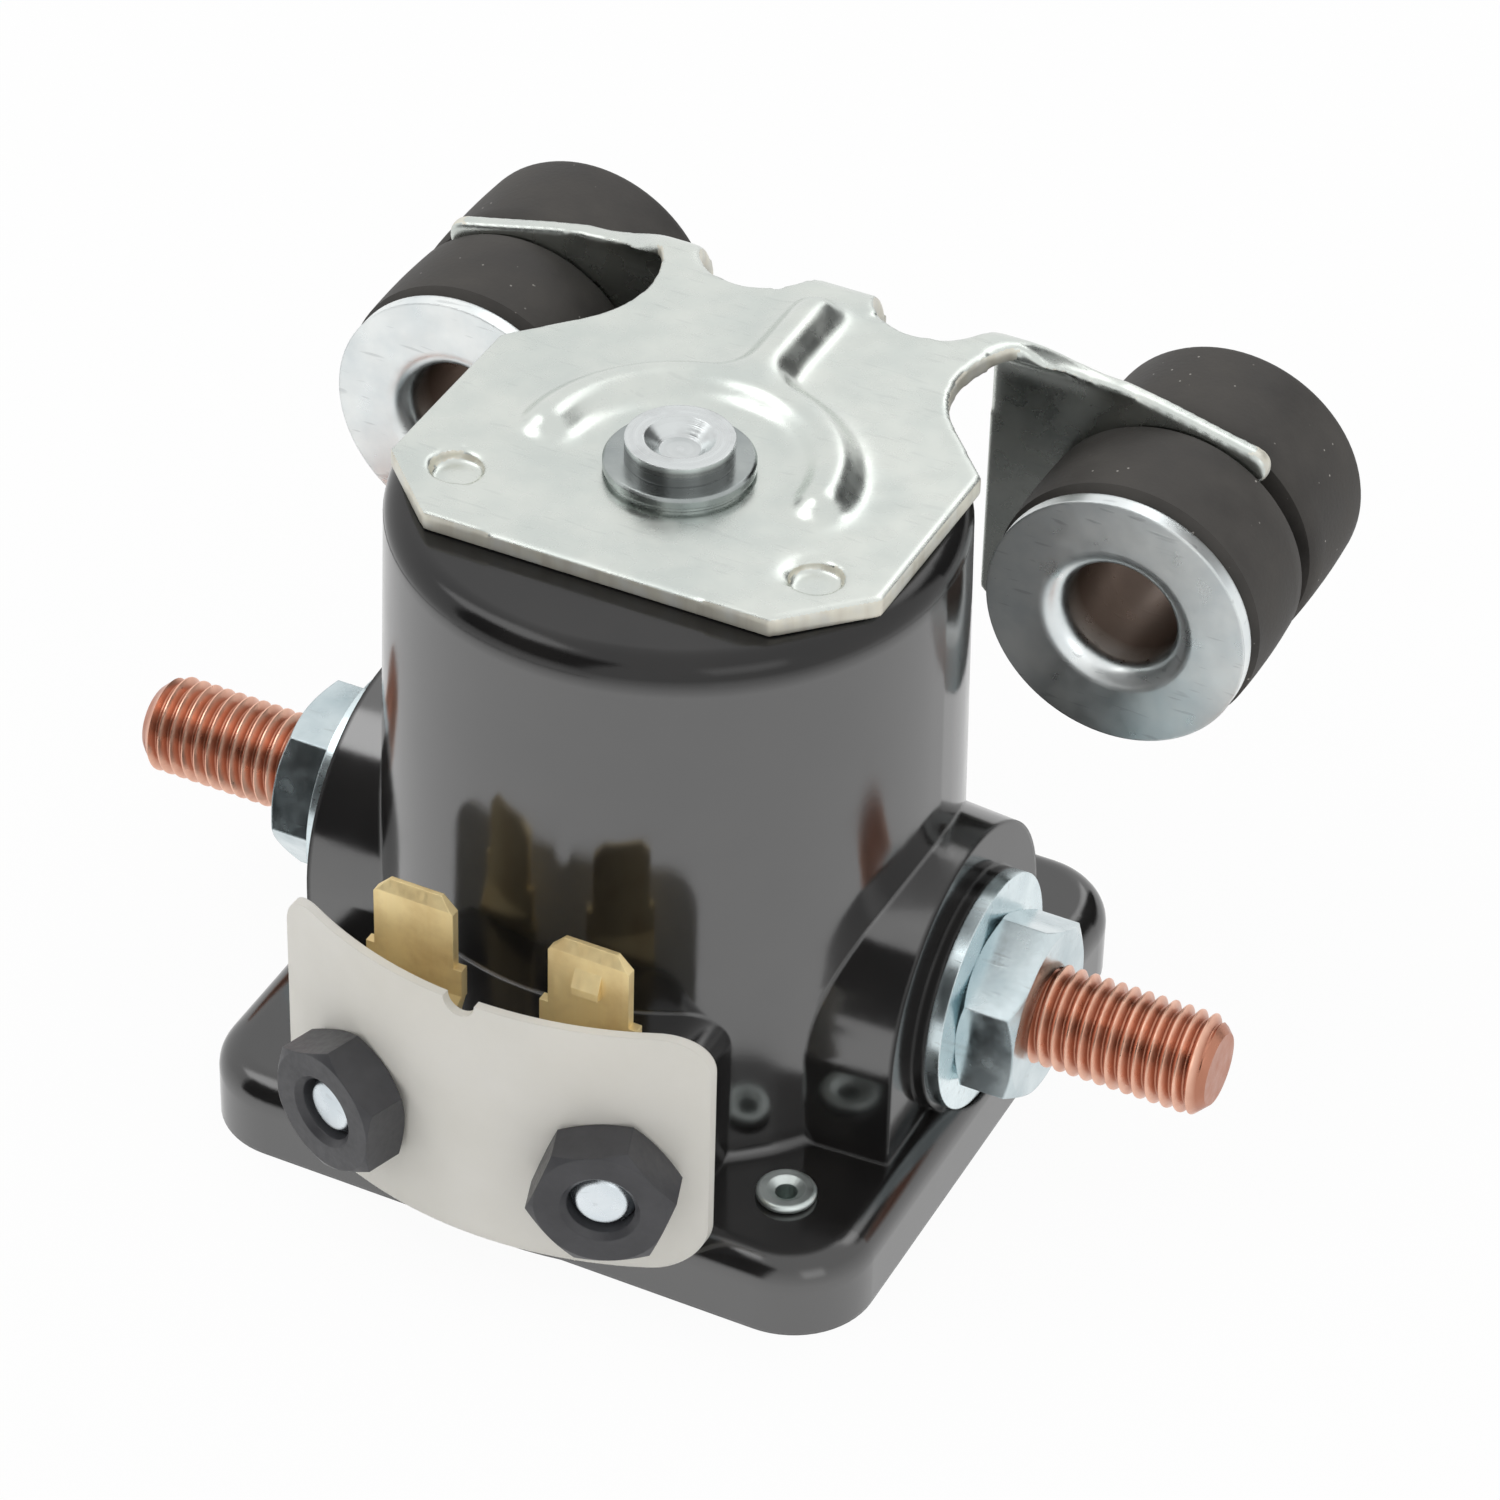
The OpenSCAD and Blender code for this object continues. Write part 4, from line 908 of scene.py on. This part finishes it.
@dataclass
class ControlStuds:
    """The two small zinc-plated studs behind the blades."""

    angle: float = math.radians(18.6)
    axis_z: float = 13.0 * MM
    radius: float = 2.4 * MM
    pitch: float = 0.794 * MM
    seat: float = 19.5 * MM
    head_r: float = 3.6 * MM
    head_t: float = 1.5 * MM
    head_edge: float = 0.25 * MM
    thread_start: float = 21.5 * MM
    tip: float = 34.35 * MM
    chamfer: float = 0.6 * MM
    steps: int = 48

    def build(self, side: Side, material: Material) -> None:
        """Builds and dresses the stud of one side.

        Args:
            side: the side.
            material: the plating.
        """
        low = self.seat - self.head_t
        points = [
            (0.0, low), (self.head_r - self.head_edge, low), (self.head_r, low + self.head_edge),
            (self.head_r, self.seat), (0.0, self.seat),
        ]
        head = Bench.turned(f"control_head_{side.word}", points, self.steps)
        stud = ThreadedStud(
            name=f"control_thread_{side.word}", radius=self.radius, pitch=self.pitch,
            tail=self.seat - self.head_t / 2, start=self.thread_start, tip=self.tip,
            chamfer=self.chamfer,
        )
        piece = stud.build(head)
        out = Matrix.Rotation(side.value * self.angle, 4, "Z") @ Matrix.Rotation(TURN / 4, 4, "X")
        Bench.place(piece, Matrix.Translation((0, 0, self.axis_z)) @ out)
        Bench.finish(piece, material, BODY, "terminal_zinc", f"control_stud_{side.word}")


@dataclass
class Isolators:
    """The two grooved rubber bushes in the bracket ears."""

    axis_x: float = 27.2 * MM
    axis_z: float = 37.1 * MM
    bore: float = 5.65 * MM
    bead: float = 10.6 * MM
    groove: float = 7.0 * MM
    low: float = 18.0 * MM
    top: float = 39.6 * MM
    groove_low: float = 27.6 * MM
    groove_top: float = 29.5 * MM
    rim: float = 1.1 * MM
    round: float = 0.9 * MM
    soft: float = 0.45 * MM
    bulge: float = 0.12 * MM
    steps: int = 96

    def bead_side(self, low: float, high: float) -> list[Point]:
        """The slightly swollen side of a bead.

        Args:
            low: where it starts.
            high: where it ends.

        Returns:
            Points along the side.
        """
        steps = 6
        return [
            (self.bead - self.bulge * (2 * i / steps - 1) ** 2, low + (high - low) * i / steps)
            for i in range(steps + 1)
        ]

    def rear_edge(self) -> list[Point]:
        """The rounded rear edge, after the point that ends the side."""
        steps = 5
        reach = self.round - self.bulge
        centre = self.bead - self.round
        turns = [TURN / 4 * i / steps for i in range(1, steps + 1)]
        return [
            (centre + reach * math.cos(turn), self.top - self.round * (1 - math.sin(turn)))
            for turn in turns
        ]

    def outline(self) -> list[Point]:
        """The section of the rubber, from the bore round to the bore."""
        rim, soft = self.rim, self.soft
        flat = self.bead - rim
        return [
            (self.bore, self.low), (flat - soft, self.low), (flat, self.low + 0.15 * rim),
            *self.bead_side(self.low + rim, self.groove_low - soft),
            (self.bead - soft, self.groove_low), (self.groove, self.groove_low),
            (self.groove, self.groove_top), (self.bead - soft, self.groove_top),
            *self.bead_side(self.groove_top + soft, self.top - self.round),
            *self.rear_edge(), (self.bore, self.top), (self.bore, self.low),
        ]

    def build(self, side: Side, material: Material) -> None:
        """Builds and dresses the isolator of one side.

        Args:
            side: the side.
            material: the rubber.
        """
        piece = Bench.turned(f"rubber_{side.word}", self.outline(), self.steps)
        where = Matrix.Translation((side.value * self.axis_x, 0, self.axis_z))
        Bench.place(piece, where @ Matrix.Rotation(-TURN / 4, 4, "X"))
        Bench.finish(piece, material, BODY, "isolator_rubber", f"isolator_{side.word}")


@dataclass
class Bracket:
    """The pressed bracket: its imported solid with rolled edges, a soft rib and a strip in front."""

    top_z: float = 52.2 * MM
    thickness: float = 1.6 * MM
    front_y: float = -12.8 * MM
    strip_x: tuple[float, float] = (-13.6 * MM, 13.6 * MM)
    strip_d: float = 0.3 * MM
    notch_x: float = 7.1 * MM
    notch_y: float = 28.1 * MM
    notch_r: float = 4.7 * MM
    notch_low: float = 25.2 * MM
    notch_high: float = 55.2 * MM
    rib_reach: float = 15.6 * MM
    rib_core: float = 6.5 * MM
    rib_under: float = 0.3 * MM
    rib_lift: float = 1.4
    rib_rounds: int = 32
    tail: tuple[float, float] = (4.5 * MM, 24.6 * MM)
    voxel: float = 0.25 * MM
    neck: tuple[float, float, float] = (8 * MM, 23.5 * MM, 44 * MM)
    neck_rounds: int = 14
    bend_y: float = 24.5 * MM
    bend_z: float = 47 * MM
    ear_y: float = 27.4 * MM
    edge_slope: float = 0.6
    bend_slope: float = 0.5

    def copy(self, node: Object) -> Object:
        """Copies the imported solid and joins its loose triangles.

        Args:
            node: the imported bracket.

        Returns:
            The copy.
        """
        piece = bpy.data.objects.new("pressed_bracket", node.data.copy())
        bpy.context.scene.collection.objects.link(piece)
        Bench.edit(piece, partial(bpy.ops.mesh.remove_doubles, threshold=MERGE))
        return piece

    def notch(self, piece: Object, side: Side) -> None:
        """Cuts a wide relief notch beside the tab.

        Args:
            piece: the bracket.
            side: the side of the tab.
        """
        Bench.clear()
        middle = (self.notch_low + self.notch_high) / 2
        bpy.ops.mesh.primitive_cylinder_add(
            vertices=96, radius=self.notch_r, depth=self.notch_high - self.notch_low,
            location=(side.value * self.notch_x, self.notch_y, middle),
        )
        cutter = bpy.context.active_object
        Bench.apply(piece, "BOOLEAN", operation="DIFFERENCE", object=cutter)
        bpy.data.objects.remove(cutter)

    def strip(self, piece: Object) -> None:
        """Leaves the cut-off strip standing out of the front edge.

        Args:
            piece: the bracket.
        """
        left, right = self.strip_x
        centre = ((left + right) / 2, self.front_y, self.top_z - self.thickness / 2)
        size = (right - left, 2 * self.strip_d, self.thickness)
        Bench.join(piece, Bench.block("strip", centre, size))

    def soften(self, piece: Object) -> None:
        """Melts the form into one even skin with rolled edges and a soft rib.

        Args:
            piece: the bracket.
        """
        Bench.apply(piece, "REMESH", mode="VOXEL", voxel_size=self.voxel)
        Bench.apply(piece, "SMOOTH", factor=0.5, iterations=3)
        for vertex in piece.data.vertices:
            x, y, z = vertex.co
            reach = math.hypot(x, y)
            near = reach < self.rib_reach or (abs(x) < self.tail[0] and 0 < y < self.tail[1])
            vertex.select = z > self.top_z - self.rib_under and near and reach > self.rib_core
            if vertex.select and z > self.top_z:
                vertex.co.z = self.top_z + self.rib_lift * (z - self.top_z)
        smooth = partial(bpy.ops.mesh.vertices_smooth, factor=0.5)
        flow = partial(smooth, repeat=self.rib_rounds, xaxis=False, yaxis=False, zaxis=True)
        Bench.edit(piece, flow, everything=False)
        for vertex in piece.data.vertices:
            x, y, z = vertex.co
            vertex.select = abs(x) > self.neck[0] and y > self.neck[1] and z > self.neck[2]
        Bench.edit(piece, partial(smooth, repeat=self.neck_rounds), everything=False)

    def build(self, node: Object, face: Material, edge: Material) -> None:
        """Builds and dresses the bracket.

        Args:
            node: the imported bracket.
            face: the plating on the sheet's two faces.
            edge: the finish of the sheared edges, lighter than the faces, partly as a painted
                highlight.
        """
        piece = self.copy(node)
        for side in Side:
            self.notch(piece, side)
        self.strip(piece)
        self.soften(piece)
        Bench.finish(piece, face, BODY, "bracket_zinc", "mounting_bracket")
        piece.data.materials.append(edge)
        # The sheet's edge faces get the lighter edge finish, partly a painted highlight.
        for polygon in piece.data.polygons:
            normal, centre = polygon.normal, polygon.center
            across = normal.y if centre.y > self.ear_y else normal.z
            bend = centre.y > self.bend_y and centre.z > self.bend_z
            bend = bend and abs(normal.x) < self.bend_slope
            polygon.material_index = int(abs(across) < self.edge_slope and not bend)


@dataclass
class CoilSpring:
    """A wound spring."""

    name: str
    node: str
    body: str
    joint: str
    coil: float
    wire: float
    low: float
    high: float
    turns: int
    anchor_z: float
    travel: float
    steps: int = 40
    wire_sides: int = 12

    def wind(self) -> Object:
        """Winds the wire and closes its ends.

        Returns:
            The spring along Z.
        """
        Bench.clear()
        low = self.low + self.wire
        pitch = (self.high - self.wire - low) / self.turns
        bpy.ops.mesh.primitive_circle_add(
            vertices=self.wire_sides, radius=self.wire, location=(self.coil, 0, low),
            rotation=(TURN / 4, 0, 0),
        )
        piece = bpy.context.active_object
        piece.name = self.name
        bpy.ops.object.transform_apply()
        Bench.apply(
            piece, "SCREW", axis="Z", screw_offset=pitch, iterations=self.turns,
            steps=self.steps, render_steps=self.steps,
        )

        def close() -> None:
            """Joins the turns, closes both ends and turns the faces outwards."""
            bpy.ops.mesh.remove_doubles(threshold=SEAM)
            bpy.ops.mesh.fill_holes(sides=self.wire_sides)
            bpy.ops.mesh.normals_make_consistent(inside=False)

        Bench.edit(piece, close)
        return piece

    def build(self, material: Material) -> None:
        """Builds and dresses the spring.

        Args:
            material: the steel of the wire.
        """
        piece = self.wind()
        Bench.finish(piece, material, self.body, "spring_steel", self.node)
        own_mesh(piece)


def springs() -> tuple[CoilSpring, CoilSpring]:
    """The return spring over the plunger and the over-travel spring under the disc."""
    back = CoilSpring(
        name="return_coil", node="return_spring", body=BODY, joint="plunger_slide",
        coil=2.7 * MM, wire=0.3 * MM, low=25.5 * MM, high=33.95 * MM, turns=6,
        anchor_z=34.0 * MM, travel=2.5 * MM,
    )
    rest = CoilSpring(
        name="overtravel_coil", node="overtravel_spring", body=ARMATURE, joint="disc_overtravel",
        coil=2.35 * MM, wire=0.22 * MM, low=3.35 * MM, high=5.45 * MM, turns=2,
        anchor_z=3.3 * MM, travel=0.55 * MM,
    )
    return back, rest


def dress(item: Object, material: Material) -> None:
    """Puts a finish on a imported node.

    Args:
        item: the node.
        material: the finish.
    """
    for slot in item.material_slots:
        slot.material = material
    if not item.material_slots:
        item.data.materials.append(material)
    LOG.info("%s: %s", item.name, material.name)


@dataclass
class Studio:
    """A pale floor, soft lamps, dark cards and the camera."""

    azimuth: float = math.radians(25.329)
    elevation: float = math.radians(37.888)
    roll: float = math.radians(1.607)
    eye: tuple[float, float, float] = (152.584 * MM, -309.441 * MM, 295.614 * MM)
    lens_mm: float = 143.03
    sensor_mm: float = 36.0
    ambient: float = 0.74
    floor_half: float = 3.0
    floor_share: float = 0.95
    aim: Vector = field(default_factory=lambda: Vector((0, 0, 30 * MM)))

    def camera(self) -> None:
        """Sets the camera where the photograph was taken from."""
        data = bpy.data.cameras.new("view")
        data.lens = self.lens_mm
        data.sensor_width = self.sensor_mm
        data.clip_start = 0.01
        data.clip_end = 20.0
        item = bpy.data.objects.new("view", data)
        bpy.context.scene.collection.objects.link(item)
        tilt = TURN / 4 - self.elevation
        level = Matrix.Rotation(self.azimuth, 4, "Z") @ Matrix.Rotation(tilt, 4, "X")
        place = Matrix.Translation(self.eye) @ level
        item.matrix_world = place @ Matrix.Rotation(self.roll, 4, "Z")
        bpy.context.scene.camera = item

    def lamp(self, name: str, spot: Vector, size: float, level: float) -> None:
        """Adds a square soft lamp that faces the object.

        Args:
            name: the lamp's name.
            spot: its place.
            size: the length of its side.
            level: its brightness, where 1 is white.
        """
        data = bpy.data.lights.new(name, "AREA")
        data.size = size
        data.energy = level * math.pi * size**2
        item = bpy.data.objects.new(name, data)
        bpy.context.scene.collection.objects.link(item)
        item.location = spot
        item.rotation_euler = (self.aim - spot).to_track_quat("-Z", "Y").to_euler()

    def card(self, name: str, spot: Vector, size: float) -> None:
        """Stands a dark card beside the object, which only reflections show.

        Args:
            name: the card's name.
            spot: its place.
            size: the length of its side.
        """
        Bench.clear()
        bpy.ops.mesh.primitive_plane_add(
            size=size, location=spot, rotation=(self.aim - spot).to_track_quat("Z", "Y").to_euler()
        )
        item = bpy.context.active_object
        item.name = name
        sketch = Sketch(f"{name}_felt")
        tone = sketch.mix(sketch.noise(40, 3.0), (0.02, 0.02, 0.02), (0.035, 0.035, 0.035))
        item.data.materials.append(sketch.done(tone, 0.9))
        item.visible_camera = False
        item.visible_diffuse = False
        item.visible_shadow = False
        item.visible_transmission = False

    @staticmethod
    def background(tree: bpy.types.NodeTree, lit: Socket, out: Socket, share: float) -> None:
        """Shows white to the camera and to reflections, over what lights the object.

        Args:
            tree: the node tree of the world or the floor.
            lit: the shader that lights the object.
            out: the output's surface socket.
            share: how far the white covers it.
        """
        path = tree.nodes.new("ShaderNodeLightPath")
        seen = path.outputs["Is Camera Ray"]
        steps = (
            ("MAXIMUM", path.outputs["Is Transmission Ray"]),
            ("MAXIMUM", path.outputs["Is Glossy Ray"]),
            ("MULTIPLY", share),
        )
        for operation, other in steps:
            node = tree.nodes.new("ShaderNodeMath")
            node.operation = operation
            tree.links.new(seen, node.inputs[0])
            if isinstance(other, float):
                node.inputs[1].default_value = other
            else:
                tree.links.new(other, node.inputs[1])
            seen = node.outputs[0]
        white = tree.nodes.new("ShaderNodeEmission")
        white.inputs["Color"].default_value = (1, 1, 1, 1)
        white.inputs["Strength"].default_value = 1.0
        mix = tree.nodes.new("ShaderNodeMixShader")
        for number, socket in enumerate((seen, lit, white.outputs[0])):
            tree.links.new(socket, mix.inputs[number])
        tree.links.new(mix.outputs[0], out)

    def world(self) -> None:
        """Sets the even light from all round."""
        world = bpy.data.worlds.new("studio")
        bpy.context.scene.world = world
        world.use_nodes = True
        tree = world.node_tree
        ground = tree.nodes["Background"]
        ground.inputs["Color"].default_value = (1, 1, 1, 1)
        ground.inputs["Strength"].default_value = self.ambient
        self.background(tree, ground.outputs[0], tree.nodes["World Output"].inputs["Surface"], 1.0)

    def floor(self) -> None:
        """Lays the pale floor, which keeps the shadow."""
        Bench.clear()
        bpy.ops.mesh.primitive_plane_add(size=2 * self.floor_half, location=(0, 0, -0.02 * MM))
        item = bpy.context.active_object
        item.name = "floor"
        sketch = Sketch("floor_paper")
        tone = sketch.mix(sketch.noise(8, 2.0), (0.86, 0.86, 0.86), (0.90, 0.90, 0.90))
        sketch.done(tone, 0.9)
        out = sketch.tree.nodes["Material Output"].inputs["Surface"]
        self.background(sketch.tree, sketch.shader.outputs[0], out, self.floor_share)
        item.data.materials.append(sketch.material)

    def build(self) -> None:
        """Builds the whole studio."""
        self.camera()
        self.world()
        self.floor()
        self.card("rear_card", Vector((0.22, 0.50, 0.26)), 0.40)
        self.card("front_card", Vector((-0.26, -0.43, 0.25)), 0.56)
        self.lamp("key", Vector((-0.35, -0.15, 0.55)), 0.35, 1.7)
        self.lamp("fill", Vector((0.45, -0.35, 0.35)), 0.30, 0.8)
        self.lamp("back", Vector((0.10, 0.50, 0.45)), 0.40, 1.1)
        bpy.context.scene.view_settings.view_transform = "Standard"


def finishes() -> dict[str, Material]:
    """Paints every finish of the relay.

    Returns:
        Each material by the name of its finish.
    """
    studs = PowerStuds()
    rubber = Isolators()
    root = studs.radius - ThreadedStud.depth_share * studs.pitch
    kinds = (
        Phenolic("phenolic"),
        Zinc("bracket_zinc", scratch=0.22),
        ShearedZinc("bracket_edge"),
        Zinc("nut_zinc", (0.66, 0.74, 0.76), (0.46, 0.55, 0.58), 0.14, 0.30, 0.4, 0.2 * MM),
        Zinc("washer_zinc", (0.80, 0.90, 0.92), (0.62, 0.72, 0.75), 0.18, 0.32, 0.4, 0.15 * MM),
        Zinc("rivet_zinc", (0.80, 0.86, 0.84), (0.60, 0.66, 0.64), 0.30, 0.46, 0.4, 0.15 * MM),
        Zinc("core_washer_zinc", (0.42, 0.45, 0.44), (0.30, 0.33, 0.33), 0.16, 0.3, 0.6, 0.15 * MM),
        SleeveZinc("sleeve_zinc", rubber.axis_x, rubber.axis_z, 4.4 * MM, 18.5 * MM),
        TurnedSteel("core_steel"),
        Zinc("terminal_zinc", (0.82, 0.87, 0.90), (0.66, 0.73, 0.77), 0.2, 0.34, 0.3),
        Zinc("magnet_steel", (0.52, 0.52, 0.52), (0.38, 0.38, 0.39), 0.32, 0.5, 0.5),
        Zinc("spring_steel", (0.46, 0.46, 0.48), (0.30, 0.30, 0.32), 0.25, 0.4, 0.2),
        Copper("stud_copper", studs.axis_z, root, studs.radius),
        Brass("blade_brass"),
        Rubber("isolator_rubber"),
        MilkyNylon("sheet_nylon"),
        Plastic("nut_nylon", (0.036, 0.036, 0.040), (0.055, 0.055, 0.060), 0.34, 0.48),
        Plastic("cover_phenolic", (0.040, 0.034, 0.030), (0.062, 0.052, 0.045), 0.5, 0.68),
        Plastic(
            "gasket_fibre", (0.060, 0.046, 0.036), (0.095, 0.075, 0.060), 0.75, 0.9, 900, 0.06 * MM
        ),
        Plastic("bobbin_nylon", (0.62, 0.56, 0.40), (0.72, 0.66, 0.50), 0.4, 0.55),
        Plastic("bush_fibre", (0.48, 0.34, 0.20), (0.60, 0.45, 0.28), 0.6, 0.8, 1200),
        Varnish("winding_copper", (0.62, 0.24, 0.11), (0.42, 0.14, 0.06), 0.2),
        Varnish("contact_copper", (0.80, 0.44, 0.30), (0.66, 0.32, 0.20), 0.26),
    )
    return {kind.name: kind.paint() for kind in kinds}


DRESSED: dict[str, tuple[str, ...]] = {
    "phenolic": ("housing",),
    "cover_phenolic": ("bottom_cover",),
    "gasket_fibre": ("base_gasket",),
    "rivet_zinc": ("cover_rivets",),
    "core_washer_zinc": ("core_washer",),
    "core_steel": ("pole_core",),
    "magnet_steel": ("flux_can", "flux_plate", "plunger", "plunger_rod"),
    "bobbin_nylon": ("bobbin",),
    "winding_copper": ("coil_winding", "coil_leads"),
    "spring_steel": ("rod_clip",),
    "contact_copper": ("contact_disc",),
    "bush_fibre": ("disc_bush_upper", "disc_bush_lower"),
    "washer_zinc": ("stud_washers",),
    "nut_zinc": ("stud_nuts",),
    "terminal_zinc": ("terminal_nuts",),
    "blade_brass": ("blade_left", "blade_right"),
    "sheet_nylon": ("insulator_sheet",),
    "nut_nylon": ("nylon_nuts",),
    "sleeve_zinc": ("sleeve_left", "sleeve_right"),
}


def main() -> None:
    """Dresses the nodes, builds the pieces and sets the studio."""
    logging.basicConfig(level=logging.INFO, format="%(message)s")
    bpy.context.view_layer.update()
    paint = finishes()
    for finish, names in DRESSED.items():
        for name in names:
            dress(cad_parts[name], paint[finish])
    for side in Side:
        PowerStuds().build(side, paint["stud_copper"])
        ControlStuds().build(side, paint["terminal_zinc"])
        Isolators().build(side, paint["isolator_rubber"])
    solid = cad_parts["mounting_bracket"]
    Bracket().build(solid, paint["bracket_zinc"], paint["bracket_edge"])
    for spring in springs():
        spring.build(paint["spring_steel"])
    Studio().build()


if __name__ == "__main__":
    main()
